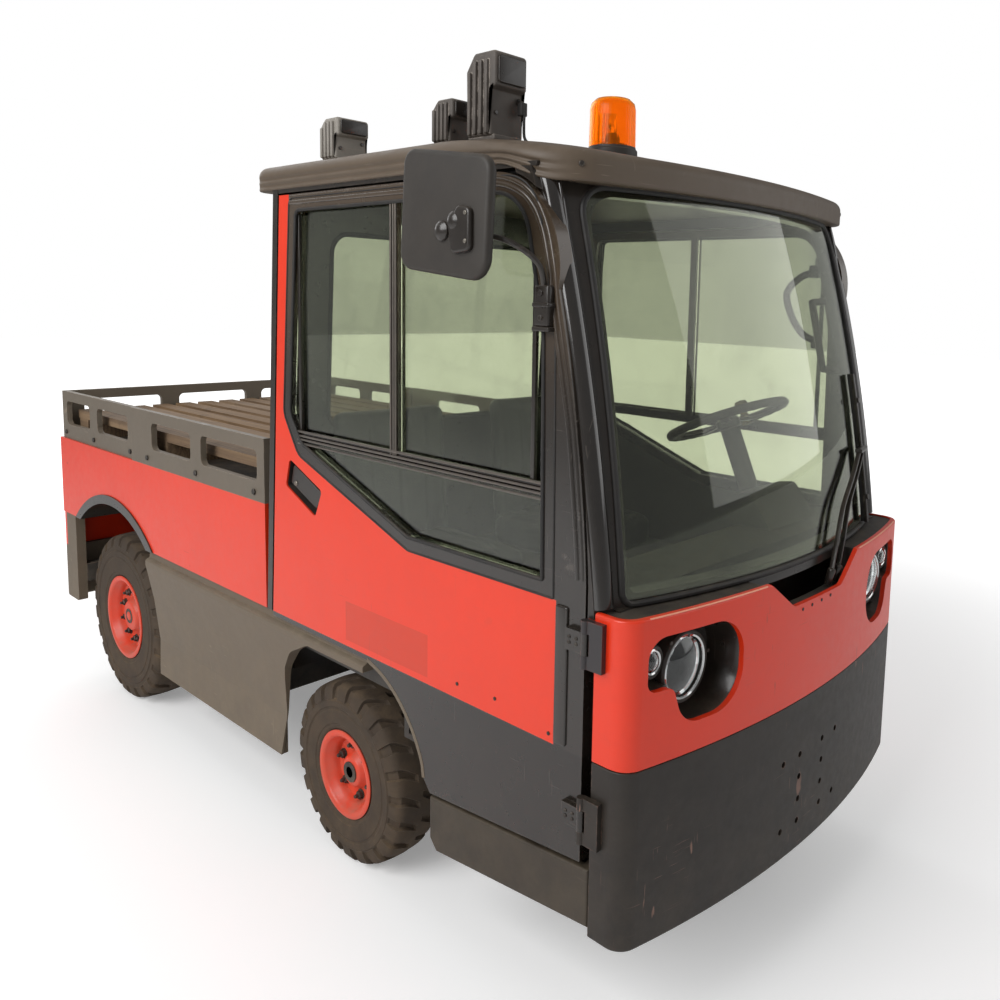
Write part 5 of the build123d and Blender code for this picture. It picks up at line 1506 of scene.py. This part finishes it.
@dataclass
class RoofGear:
    """Beacon, work lamps with their lead, and screws on the roof.

    Attributes:
        top: Height that the gear stands on.
    """

    top: float = 2.0383

    def beacon(self, paints: Paints) -> None:
        """Amber ribbed lens over a lamp and its turning reflector, on a dark base.

        Args:
            paints: The materials.
        """
        centre, up = (-0.190, at(0.560), self.top), (0.0, 0.0, 1.0)
        base = lathe([(-0.014, 0.0), (-0.014, 0.064), (0.006, 0.066), (0.016, 0.0655), (0.019, 0.062),
                      (0.024, 0.061),
                      (0.024, 0.0)], centre, up, 64)
        lens = lathe([(0.1465, 0.0), (0.1455, 0.020), (0.141, 0.040), (0.131, 0.0515), (0.118, 0.0545),
                      (0.020, 0.056), (0.020, 0.060), (0.118, 0.0585), (0.133, 0.0555), (0.1445, 0.043),
                      (0.149, 0.022), (0.150, 0.0)], centre, up, 144, lobes=(48, 0.0005))
        stem = lathe([(0.020, 0.040), (0.032, 0.038), (0.036, 0.020), (0.060, 0.014), (0.060, 0.0)], centre,
                     up, 32)
        bulb = lathe([(0.060, 0.006), (0.075, 0.009), (0.090, 0.010), (0.102, 0.006), (0.105, 0.0)], centre,
                     up, 24)
        t = np.linspace(-1.15, 1.15, 24)
        z = np.linspace(0.040, 0.118, 10)
        front = np.stack([0.040 * np.sin(t), 0.040 * np.cos(t)], -1)
        back = front[::-1] * 0.95
        loop = np.vstack([front, back])
        shield = skin(np.concatenate([np.broadcast_to(loop, (10, 48, 2)), np.broadcast_to(z[:, None, None],
                                                                                         (10, 48, 1))], 2))
        shield = shield.moved(*centre)
        base.piece("beacon_base", paints["moulded_black"], "vehicle", "plastic", ("beacon",))
        lens.piece("beacon_lens", paints["amber_lens"], "vehicle", "amber")
        stem.piece("beacon_stem", paints["dark_steel"], "vehicle", "bare_steel")
        (bulb + shield).piece("beacon_reflector", paints["chrome"], "vehicle", "lamp")

    def lamp_body(self, behind: float, height: float, depth: float, width: float) -> Shape:
        """Housing of one work lamp: stepped side outline, ribs down its flanks, foot plate.

        Args:
            behind: Its place behind the nose.
            height: Its height.
            depth: Its depth.
            width: Its width.

        Returns:
            The housing.
        """
        d, h, w = depth / 2, height, width / 2
        y, z, x = at(behind), self.top, 0.510
        outline = rounded([(y - d * 0.72, z + 0.006), (y + d * 0.92, z + 0.006), (y + d, z + h * 0.80),
                           (y + d * 0.45, z + h), (y - d, z + h), (y - d, z + h * 0.60),
                           (y - d * 0.72, z + h * 0.56)],
                          [0.004, 0.006, 0.010, 0.012, 0.010, 0.006, 0.004], 4)
        shape = slab(outline, x - w * 0.86, x + w * 0.86, 0.007, SIDE_VIEW, (0.0, 0.0, 0.0))
        for side in (-1, 1):
            for share in (-0.50, -0.12, 0.26, 0.64):
                rib_y = y + d * share
                top = z + h * (0.90 if share < 0.4 else 0.78)
                rib_x = x + side * w * 0.86
                shape = shape + block((rib_x - 0.006, rib_y - 0.005, z + 0.010),
                                      (rib_x + 0.008, rib_y + 0.005, top),
                                      0.003)
        foot = block((x - w * 0.75, y - d * 0.85, z - 0.0040), (x + w * 0.75, y + d * 0.95, z + 0.009), 0.003)
        return shape + foot

    def lamp_front(self, behind: float, height: float, depth: float, width: float) -> Shape:
        """Lamp glass frame on the front of one housing, with its two screws.

        Args:
            behind: Its place behind the nose.
            height: Its height.
            depth: Its depth.
            width: Its width.

        Returns:
            The frame.
        """
        y, z = at(behind) - depth / 2, self.top + height * 0.79
        frame = slab(rectangle(width * 0.72, height * 0.32, 0.008), 0.0, 0.005, 0.003, FRONT_VIEW,
                     (0.510, y, z))
        screws = heads([(0.510 - width * 0.30, y + depth * 0.14, self.top + height * 0.46),
                        (0.510 + width * 0.30, y + depth * 0.14, self.top + height * 0.30)], (0.0, -1.0, 0.0),
                       0.005, 0.004, 12)
        return frame + screws

    def lead(self, behind: float, height: float) -> Shape:
        """Short clipped lead and its connector from a lamp to the roof."""
        y = at(behind)
        line = curve_through([(0.478, y - 0.040, self.top + height * 0.50),
                              (0.474, y - 0.058, self.top + height * 0.42),
                              (0.476, y - 0.060, self.top + height * 0.22),
                              (0.470, y - 0.056, self.top + 0.012),
                              (0.466, y - 0.066, self.top - 0.004)], 8)
        plug = block((0.466, y - 0.062, self.top + height * 0.30),
                     (0.486, y - 0.046, self.top + height * 0.46), 0.003)
        return sweep(line, circle(0.0035, 10), (1.0, 0.0, 0.1)) + plug

    def build(self, paints: Paints) -> None:
        """Builds and dresses the roof gear.

        Args:
            paints: The materials.
        """
        self.beacon(paints)
        table = ((0.650, 0.196, 0.104, 0.118, "lamp_case"), (0.800, 0.110, 0.080, 0.100, "lamp_case"),
                 (1.290, 0.118, 0.090, 0.118, "faded_grey"))
        for number, (behind, height, depth, width, finish) in enumerate(table, 1):
            body = self.lamp_body(behind, height, depth, width)
            body.on_side(Side.RIGHT).piece(f"work_lamp_{number}", paints[finish], "vehicle", "plastic",
                                           ("work_lamps",))
            self.lamp_front(behind, height, depth, width).on_side(Side.RIGHT).piece(
                f"work_lamp_face_{number}", paints["satin_black"], "vehicle", "plastic")
        self.lead(0.650, 0.196).on_side(Side.RIGHT).piece("work_lamp_lead", paints["seal_rubber"], "vehicle",
                                                          "plastic")
        screws = heads([(0.60, at(1.49), 2.012), (-0.60, at(1.49), 2.012)], (0.0, 0.3, 1.0), 0.007, 0.006, 14)
        screws.piece("roof_screws", paints["dark_steel"], "vehicle", "bare_steel")


@dataclass
class Roof:
    """Moulded roof: its bowed front droops over the windscreen and two soft ridges run along its sides.

    Attributes:
        half: Half its width.
        low: Height of its lower edge.
        front: Middle of its front edge, behind the nose.
        bow: How far the front corners lie behind that.
        rear: Its rear edge.
        drop: How far the front edge droops.
        groove_low: Height above the lower edge where the side grooves start.
        groove_high: Height where they end.
        groove_pitch: Height of one groove with its ridge.
        groove_depth: Depth of the grooves.
    """

    half: float = 0.655
    low: float = 1.956
    front: float = 0.216
    bow: float = 0.096
    rear: float = 1.535
    drop: float = 0.040
    groove_low: float = 0.004
    groove_high: float = 0.040
    groove_pitch: float = 0.018
    groove_depth: float = 0.0055

    def plan(self) -> np.ndarray:
        """Plan outline: a round-cornered rectangle whose front is bowed by bow (1 - (x / half)^2)."""
        y, h = self.front + self.bow, self.half
        line = evenly(rounded([(-h, y), (h, y), (h, self.rear), (-h, self.rear)], [0.11, 0.11, 0.04, 0.04],
                              12), 300)
        bowed = self.bow * (1 - (line[:, 0] / h) ** 2) * (line[:, 1] < 0.45)
        return np.stack([line[:, 0], at(0.0) + line[:, 1] - bowed], -1)

    def shell(self) -> Shape:
        """Rings round the plan: each has an inset and a height, the side grooves add a cosine to the inset.

        Returns:
            The closed roof.
        """
        line = self.plan()
        behind = line[:, 1] - at(0.0)
        groove = np.clip((behind - 0.30) / 0.10, 0, 1) * np.clip((self.rear - 0.02 - behind) / 0.03, 0, 1)
        a = np.linspace(0, np.pi / 2, 9)
        rings = [(0.006, 0.0), (0.0015, 0.001)]
        rings += [(0.0, h) for h in np.linspace(self.groove_low, self.groove_high, 17)]
        rings += [(0.030 * (1 - math.cos(t)), 0.040 + 0.030 * math.sin(t)) for t in a[1:]]
        rings += [(0.045, 0.0708), (0.060, 0.0725), (0.072, 0.0765), (0.086, 0.0808), (0.100, 0.0820)]
        loops = []
        for distance, height in rings:
            turn = 2 * math.pi * (height - self.groove_low) / self.groove_pitch
            grooved = self.groove_low < height < self.groove_high
            wave = self.groove_depth * (1 - math.cos(turn)) / 2 if grooved else 0.0
            ring = inset(line, (min(distance, 0.032) + wave * groove)[:, None])
            ring += (ring.mean(0) - ring) * max(distance - 0.032, 0.0) / 0.62
            loops.append(np.column_stack([ring, np.full(len(line), height)]))
        for end, order in ((loops[0], -1), (loops[-1], 1)):
            middle = end.mean(0)
            shrunk = [middle + (end - middle) * np.array([k, k,
                                                          1.0]) for k in (0.92, 0.82, 0.7, 0.55, 0.35, 0.1)]
            loops = shrunk[::-1] + loops if order < 0 else loops + shrunk
        grid = np.stack(loops)
        share = np.clip(grid[..., 2] / 0.070, 0, 1)
        grid[..., 2] += self.low - self.drop * self.droop(grid[..., 1] - at(0.0), share)
        return skin(grid)

    def droop(self, behind: np.ndarray, share: np.ndarray) -> np.ndarray:
        """Share of the droop: a smooth step that starts further back on the upper face than on the lower.

        Args:
            behind: Distances behind the nose.
            share: 0 on the lower face, 1 on the upper.

        Returns:
            Shares between 0 and 1.
        """
        below = np.clip((0.49 - behind) / 0.16, 0, 1)
        above = np.clip((0.70 - behind) / 0.44, 0, 1)
        steps = [v * v * (3 - 2 * v) for v in (below, above)]
        return steps[0] * (1 - share) + steps[1] * share

    def screws(self) -> Shape:
        """One screw in each front corner's face."""
        line = self.plan()
        made = []
        for x in (-0.592, 0.592):
            near = int(np.argmin(np.abs(line[:, 0] - x) + (line[:, 1] > at(0.42))))
            step = line[(near + 1) % len(line)] - line[near - 1]
            head = heads([(line[near, 0], line[near, 1], self.low - 0.004)], (step[1], -step[0], 0.0), 0.006,
                         0.004, 14)
            made.append(head)
        return together(made)

    def build(self, paints: Paints) -> None:
        """Builds and dresses the roof.

        Args:
            paints: The materials.
        """
        self.shell().piece("roof_shell", paints["roof_grey"], "vehicle", "grey_trim", ("roof",), sharp=60)
        self.screws().piece("roof_corner_screws", paints["dark_steel"], "vehicle", "bare_steel")


@dataclass
class Interior:
    """Steering wheel with its spinner, grab handle, dial bezels and switches, and the two padded seats.

    Attributes:
        centre: Middle of the steering wheel's rim.
        axis: Its axis.
        reach: Rim radius.
        voxel: Edge of the seats' remeshed faces.
        pressure: Pressure that blows the seats up.
        give: Longest way a seat's point may move.
        frames: Frames that the cloth runs.
    """

    centre: Point = (0.330, -1.153, 1.315)
    axis: Point = (0.0, 0.4016, 0.9158)
    reach: float = 0.182
    voxel: float = 0.010
    pressure: float = 4.0
    give: float = 0.012
    frames: int = 20

    def wheel_rim(self) -> Shape:
        """Rim with finger waves under it: a ring whose section swells with cos of 24 times the turn."""
        t = np.linspace(0, 2 * np.pi, 144, endpoint=False)
        a = axes(self.axis)
        p = np.linspace(0, 2 * np.pi, 16, endpoint=False)
        thick = 0.0128 + 0.0007 * np.cos(24 * t)[:, None] * (np.sin(p)[None] < 0.2)
        out = self.reach + thick * np.cos(p)[None]
        high = thick * np.sin(p)[None]
        grid = (np.asarray(self.centre) + out[..., None] * (np.cos(t)[:, None, None] * a[0]
                                                             + np.sin(t)[:, None, None] * a[1])
                + high[..., None] * a[2])
        return skin(grid, wrap_rows=True)

    def spokes(self) -> Shape:
        """Three dished spokes and the hub with its cap."""
        a = axes(self.axis)
        middle = np.asarray(self.centre)
        shape = lathe([(-0.030, 0.030), (-0.026, 0.038), (-0.004, 0.038), (0.004, 0.032), (0.008, 0.016),
                       (0.009, 0.0)], self.centre, self.axis, 40)
        for turn in (math.radians(30), math.radians(150), math.radians(270)):
            ray = math.cos(turn) * a[0] + math.sin(turn) * a[1]
            s = np.linspace(0.028, self.reach, 12)
            dip = -0.014 * np.sin(np.pi * s / self.reach)
            path = middle + s[:, None] * ray + dip[:, None] * a[2]
            shape = shape + sweep(path, rectangle(0.026, 0.009, 0.003, 4), tuple(a[2]))
        return shape

    def spinner(self) -> Shape:
        """Turning knob on the rim."""
        a = axes(self.axis)
        place = np.asarray(self.centre) + self.reach * (math.cos(3.4) * a[0] + math.sin(3.4) * a[1])
        return lathe([(-0.016, 0.017), (0.014, 0.017), (0.018, 0.012), (0.030, 0.012), (0.036, 0.020),
                      (0.052, 0.023),
                      (0.062, 0.018), (0.066, 0.0)], tuple(place), self.axis, 32)

    def grab_handle(self) -> Shape:
        """Bowed handle inside the left front pillar, with a pad at each end."""
        knots = [(0.600, 0.395, 1.775), (0.585, 0.424, 1.760), (0.572, 0.455, 1.726), (0.570, 0.462, 1.690),
                 (0.572, 0.440, 1.630), (0.582, 0.408, 1.582), (0.600, 0.372, 1.560)]
        tube = sweep(curve_through([(x, at(y), z) for x, y, z in knots], 8), circle(0.0115, 14),
                     (1.0, 0.0, 0.1))
        pads = [block((0.588, at(y) - 0.020, z - 0.020), (0.606, at(y) + 0.016, z + 0.020), 0.006)
                for y, z in ((0.385, 1.778), (0.366, 1.556))]
        return tube + pads[0] + pads[1]

    def instruments(self) -> Shape:
        """Dial bezels and a row of rocker switches on the hood."""
        y, z = at(0.4075), 1.078
        shape = None
        for x in (0.272, 0.345, 0.410):
            ring = lathe([(0.0, 0.030), (0.004, 0.030), (0.006, 0.027), (0.002, 0.025), (0.002, 0.0)],
                         (x, y, z), (0.0, 1.0, 0.12), 32)
            shape = ring if shape is None else shape + ring
        for x in np.linspace(-0.30, 0.10, 5):
            shape = shape + block((x - 0.012, at(0.418), 0.985), (x + 0.012, at(0.434), 1.006), 0.003)
        return shape

    def pad(self, name: str, low: Point, high: Point, lean: float, seams: tuple[float, ...], side_on: int,
            paints: Paints, node: str) -> None:
        """One padded seat piece: a rounded block, remeshed, blown up as cloth, then sewn along its seams.

        Args:
            name: The piece's name.
            low: Lowest corner before it leans.
            high: Highest corner before it leans.
            lean: How far the top moves back for each metre of height.
            seams: Places of the sewn channels along X, from the middle.
            side_on: Axis that the channels sink along: 1 for a backrest, 2 for a cushion.
            paints: The materials.
            node: The model node that it stands for.
        """
        lo, hi = np.array(low), np.array(high)
        shape = block(tuple(lo), tuple(hi), 0.028)
        mesh = bpy.data.meshes.new(name)
        mesh.from_pydata(shape.points.tolist(), [], shape.faces)
        obj = bpy.data.objects.new(name, mesh)
        bpy.context.scene.collection.objects.link(obj)
        remesh = obj.modifiers.new("even", "REMESH")
        remesh.mode, remesh.voxel_size = "VOXEL", self.voxel
        rest = bpy.data.meshes.new_from_object(obj.evaluated_get(bpy.context.evaluated_depsgraph_get()))
        obj.modifiers.clear()
        obj.data = rest
        count = len(rest.vertices)
        start = np.empty(count * 3)
        rest.vertices.foreach_get("co", start)
        start = start.reshape(-1, 3)
        blown = start.copy()
        cloth = obj.modifiers.new("blown", "CLOTH")
        cloth.settings.use_pressure = True
        cloth.settings.uniform_pressure_force = self.pressure
        cloth.settings.effector_weights.gravity = 0.0
        for number in range(1, self.frames + 1):
            bpy.context.scene.frame_set(number)
        done = obj.evaluated_get(bpy.context.evaluated_depsgraph_get()).data
        flat = np.empty(count * 3)
        done.vertices.foreach_get("co", flat)
        blown = flat.reshape(-1, 3)
        obj.modifiers.clear()
        bpy.context.scene.frame_set(1)
        push = blown - start
        length = np.linalg.norm(push, axis=1, keepdims=True)
        push *= np.minimum(1.0, self.give / np.maximum(length, 1e-9))
        points = start + push
        middle = (lo + hi) / 2
        half = (hi - lo) / 2
        off = (points - middle) / half
        across = np.clip(1 - off[:, 0] ** 2, 0, 1) * np.clip(1 - off[:, 3 - side_on] ** 2, 0, 1)
        facing = (off[:, side_on] > 0.3) if side_on == 2 else (off[:, side_on] < -0.3)
        sign = 1.0 if side_on == 2 else -1.0
        swell = 0.010 * across
        for seam in seams:
            from_seam = (points[:, 0] - middle[0] - seam) / 0.007
            swell -= 0.009 * np.exp(-from_seam ** 2) * np.minimum(across * 4, 1)
        edge = 0.006 * np.exp(-((np.abs(off[:, 0]) - 0.86) / 0.03) ** 2) * np.clip(across * 6, 0, 1)
        points[:, side_on] += sign * (swell - edge) * facing
        points[:, 1] += (points[:, 2] - lo[2]) * lean
        rest.vertices.foreach_set("co", points.ravel())
        rest.update()
        rest.shade_smooth()
        rest.materials.append(paints["seat_vinyl"])
        fine = obj.modifiers.new("fine", "SUBSURF")
        fine.levels = fine.render_levels = 1
        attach(obj, "vehicle")
        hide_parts(node)
        log.info("%s: %d points", name, count)

    def build(self, paints: Paints) -> None:
        """Builds and dresses the cab's inside.

        Args:
            paints: The materials.
        """
        self.wheel_rim().piece("steering_rim", paints["moulded_black"], "hand_wheel", "plastic",
                               ("steering_wheel",))
        self.spokes().piece("steering_spokes", paints["satin_black"], "hand_wheel", "plastic")
        self.spinner().piece("steering_spinner", paints["spinner_olive"], "hand_wheel", "plastic")
        self.grab_handle().piece("grab_handle", paints["satin_black"], "vehicle", "plastic")
        self.instruments().piece("dash_instruments", paints["satin_black"], "vehicle", "plastic")
        for name, x in (("driver", 0.330), ("passenger", -0.300)):
            node = f"{name}_seat"
            self.pad(f"{name}_cushion", (x - 0.218, at(0.942), 0.796), (x + 0.218, at(1.362), 0.898), 0.0,
                     (-0.11, 0.0, 0.11), 2, paints, node)
            self.pad(f"{name}_backrest", (x - 0.206, at(1.302), 0.880), (x + 0.206, at(1.372), 1.322), 0.075,
                     (-0.10, 0.0, 0.10), 1, paints, node)


@dataclass
class BodyTrim:
    """Small pieces on the body: nose holes, nose lip bead, rear window seal, tail lamps, rail bolts and deck
    braces.
    """

    def nose_studs(self) -> Shape:
        """Four small dark studs under the notch of the nose panel."""
        places = [(x, float(nose_face(x)), z) for x, z in ((-0.082, 0.940), (-0.038, 0.941), (0.010, 0.942),
                                                           (0.058, 0.943))]
        return heads(places, (0.0, -1.0, 0.0), 0.0042, 0.0012, 14)

    def lip(self) -> Shape:
        """Thin pale bead along the upper edge of the nose, from each corner to the notch; its pale colour is
        partly worn paint and partly a painted highlight on the edge.
        """
        made = []
        for sign in (-1.0, 1.0):
            x = np.linspace(0.236, 0.594, 40)
            path = np.stack([sign * x, nose_face(x) + 0.0018, np.full(40, 1.0288)], -1)
            bead = sweep(path, circle(0.0019, 8), (0.0, 0.0, 1.0))
            made.append(bead)
        return together(made)

    def tail_lamp(self, x: float) -> tuple[Shape, Shape]:
        """One round tail lamp: black bezel and a lens with rings and a raised middle.

        Args:
            x: Its distance from the middle.

        Returns:
            Bezel and lens.
        """
        centre, out = (x, at(3.250), 0.760), (0.0, 1.0, 0.0)
        bezel = lathe([(0.0, 0.0), (0.0, 0.0455), (0.010, 0.0460), (0.013, 0.044), (0.013, 0.040),
                       (0.008, 0.0395),
                       (0.008, 0.0)], centre, out, 48)
        r = np.linspace(0.0, 0.039, 28)[::-1]
        lens = [(0.0085, 0.0)] + [(0.0085, 0.0392)]
        lens += [(0.022 - 0.006 * float(v / 0.039) ** 2 + 0.0009 * math.cos(float(v) * 1500),
                  float(v)) for v in r]
        return bezel, lathe(lens, centre, out, 48)

    def rail_bolts(self) -> Shape:
        """Bolt heads along the foot of both side rails."""
        places = [(0.650, at(y), 1.058) for y in (1.58, 1.974, 2.36)]
        places += [(0.643, at(y), 1.058) for y in (2.53, 2.888, 3.19)]
        return heads(places, (1.0, 0.0, 0.0), 0.010, 0.006)

    def braces(self) -> Shape:
        """Two thin battens crossed over the front boards of the deck."""
        made = []
        for start, end, z in (((0.20, 1.70), (0.575, 2.32), 1.1515), ((0.575, 1.66), (0.02, 2.10), 1.1515)):
            path = np.array([[start[0], at(start[1]), z],
                             [(start[0] + end[0]) / 2, at((start[1] + end[1]) / 2), z + 0.001],
                             [end[0], at(end[1]), z]])
            bar = sweep(path, rectangle(0.040, 0.009, 0.002, 3), (0.0, 0.0, 1.0))
            made.append(bar)
        return together(made)

    def rear_seal(self) -> Shape:
        """Rubber bead round the window in the rear wall, on both its faces."""
        line = rounded([(-0.470, 1.250), (0.470, 1.250), (0.470, 1.850), (-0.470, 1.850)], 0.060, 10)
        made = []
        for behind in (1.511, 1.4865):
            y = at(behind) - 0.06 * (line[:, 1] - 0.705)
            path = np.stack([line[:, 0], y, line[:, 1]], -1)
            bead = sweep(path, circle(0.007, 10), (0.0, 1.0, 0.0), closed=True)
            made.append(bead)
        return together(made)

    def build(self, paints: Paints) -> None:
        """Builds and dresses the small pieces.

        Args:
            paints: The materials.
        """
        self.nose_studs().piece("nose_studs", paints["seal_rubber"], "vehicle", "plastic")
        # Pale bead: partly worn paint, partly a painted highlight along the nose's edge.
        self.lip().piece("nose_lip_bead", paints["lip_worn"], "vehicle", "red_paint")
        self.rear_seal().piece("rear_window_seal", paints["seal_rubber"], "vehicle", "plastic")
        self.braces().piece("deck_braces", paints["weathered_timber"], "vehicle", "timber")
        for side in Side:
            self.rail_bolts().on_side(side).piece(f"rail_bolts_{side.word}", paints["dark_steel"], "vehicle",
                                                  "bare_steel")
            outer, red = self.tail_lamp(0.540)
            inner, amber = self.tail_lamp(0.430)
            (outer + inner).on_side(side).piece(f"tail_lamp_bezels_{side.word}", paints["moulded_black"],
                                                "vehicle",
                                                "plastic", ("tail_lamps",))
            red.on_side(side).piece(f"tail_lamp_red_{side.word}", paints["red_lens"], "vehicle", "red_lens")
            amber.on_side(side).piece(f"tail_lamp_amber_{side.word}", paints["amber_lens"], "vehicle",
                                      "amber")


# ---------------------------------------------------------------- stage


@dataclass
class Studio:
    """Plain pale floor, soft lamps and the camera at the photograph's angle.

    Attributes:
        place: Where the camera stands.
        yaw: Its heading from +Y towards +X, in degrees.
        pitch: How far it looks down.
        roll: Its roll.
        lens: Focal length in millimetres.
        shift: Picture shift.
    """

    place: Point = (-1.986, -2.665, 1.668)
    yaw: float = 49.22
    pitch: float = 6.83
    roll: float = 1.547
    lens: float = 32.19
    shift: tuple[float, float] = (-0.1082, -0.0915)

    def camera(self) -> None:
        """Sets the camera: its back axis is the reversed view line, rolled about it."""
        yaw, pitch, roll = (math.radians(v) for v in (self.yaw, self.pitch, self.roll))
        ahead = np.array([math.sin(yaw) * math.cos(pitch), math.cos(yaw) * math.cos(pitch), -math.sin(pitch)])
        level = np.array([math.cos(yaw), -math.sin(yaw), 0.0])
        high = np.cross(level, ahead)
        right = math.cos(roll) * level + math.sin(roll) * high
        up = -math.sin(roll) * level + math.cos(roll) * high
        matrix = np.eye(4)
        matrix[:3, 0], matrix[:3, 1], matrix[:3, 2], matrix[:3, 3] = right, up, -ahead, self.place
        data = bpy.data.cameras.new("camera")
        data.lens, data.sensor_width = self.lens, 36.0
        data.shift_x, data.shift_y = self.shift
        obj = bpy.data.objects.new("camera", data)
        obj.matrix_world = Matrix(matrix.tolist())
        bpy.context.scene.collection.objects.link(obj)
        bpy.context.scene.camera = obj

    def lamp(self, name: str, place: Point, aim: Point, size: float, power: float) -> None:
        """Adds a soft square lamp.

        Args:
            name: Its name.
            place: Where it hangs.
            aim: What it faces.
            size: Its side length.
            power: Its power in watts.
        """
        data = bpy.data.lights.new(name, "AREA")
        data.shape, data.size, data.energy = "SQUARE", size, power
        obj = bpy.data.objects.new(name, data)
        away = axes(tuple(np.subtract(place, aim)))
        matrix = np.eye(4)
        matrix[:3, :3], matrix[:3, 3] = away.T, place
        obj.matrix_world = Matrix(matrix.tolist())
        bpy.context.scene.collection.objects.link(obj)

    def world(self) -> None:
        """White seen directly, by gloss or through glass; a softer level lights the vehicle."""
        world = bpy.data.worlds.new("studio")
        bpy.context.scene.world = world
        world.use_nodes = True
        world.node_tree.nodes.clear()
        n = Nodes(world.node_tree)
        path = n.add("ShaderNodeLightPath").outputs
        seen = n.math("MAXIMUM", path["Is Camera Ray"], path["Is Transmission Ray"])
        strength = n.math("MULTIPLY_ADD", seen, 0.62, 0.38)
        strength = n.math("MULTIPLY", strength, n.math("MULTIPLY_ADD", path["Is Glossy Ray"], -0.25, 1.0))
        back = n.add("ShaderNodeBackground", {"Color": (1.0, 1.0, 1.0, 1.0), "Strength": strength})
        n.add("ShaderNodeOutputWorld", {"Surface": back.outputs[0]})

    def floor(self) -> None:
        """Large pale floor that keeps the shadow."""
        mesh = bpy.data.meshes.new("floor")
        reach = 30.0
        mesh.from_pydata([(-reach, -reach, 0), (reach, -reach, 0), (reach, reach, 0), (-reach, reach, 0)], [],
                         [[0, 1, 2, 3]])
        mat = bpy.data.materials.new("pale_floor")
        mat.use_nodes = True
        mat.node_tree.nodes.clear()
        n = Nodes(mat.node_tree)
        path = n.add("ShaderNodeLightPath").outputs
        place = n.add("ShaderNodeTexCoord").outputs["Object"]
        far = n.ramp(n.add("ShaderNodeVectorMath", {0: place}, operation="LENGTH").outputs["Value"], 2.0, 7.0)
        shine = n.math("MULTIPLY", n.math("MAXIMUM", path["Is Camera Ray"], path["Is Transmission Ray"]),
                       n.math("MULTIPLY_ADD", far, 0.75, 0.25))
        shader = n.add("ShaderNodeBsdfPrincipled", {"Base Color": (0.9, 0.9, 0.9, 1), "Roughness": 0.9,
                                                    "Emission Color": (1, 1, 1, 1),
                                                    "Emission Strength": shine})
        n.add("ShaderNodeOutputMaterial", {"Surface": shader.outputs[0]})
        mesh.materials.append(mat)
        obj = bpy.data.objects.new("floor", mesh)
        bpy.context.scene.collection.objects.link(obj)

    def build(self) -> None:
        """Sets up camera, lamps, world and floor."""
        self.camera()
        self.lamp("key_lamp", (-5.4, -0.6, 4.4), (0.0, 0.0, 0.9), 4.0, 290.0)
        self.lamp("fill_lamp", (3.8, -4.4, 3.0), (0.0, -0.5, 0.9), 4.0, 55.0)
        self.lamp("back_lamp", (0.5, 5.0, 4.2), (0.0, 0.5, 1.0), 4.0, 110.0)
        self.world()
        self.floor()
        bpy.context.scene.view_settings.view_transform = "Standard"


def main() -> None:
    """Builds the scene in order."""
    logging.basicConfig(level=logging.INFO, format="%(message)s")
    for obj in list(bpy.data.objects):
        bpy.data.objects.remove(obj)
    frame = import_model()
    paints = Paints()
    dress_nodes(frame, paints)
    for side in Side:
        Wheel("front", side, at(FRONT_AXLE), 0.270, 0.114, 0.158, 22, 6, 0.052).build(paints)
        Wheel("rear", side, at(REAR_AXLE), 0.338, 0.152, 0.186, 24, 10, 0.050).build(paints)
    Headlamps().build(paints)
    Screen().build(paints)
    Mirrors().build(paints)
    Roof().build(paints)
    RoofGear().build(paints)
    Interior().build(paints)
    BodyTrim().build(paints)
    for side in Side:
        DoorTrim(side).build(paints)
    Studio().build()
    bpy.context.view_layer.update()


if __name__ == "__main__":
    main()
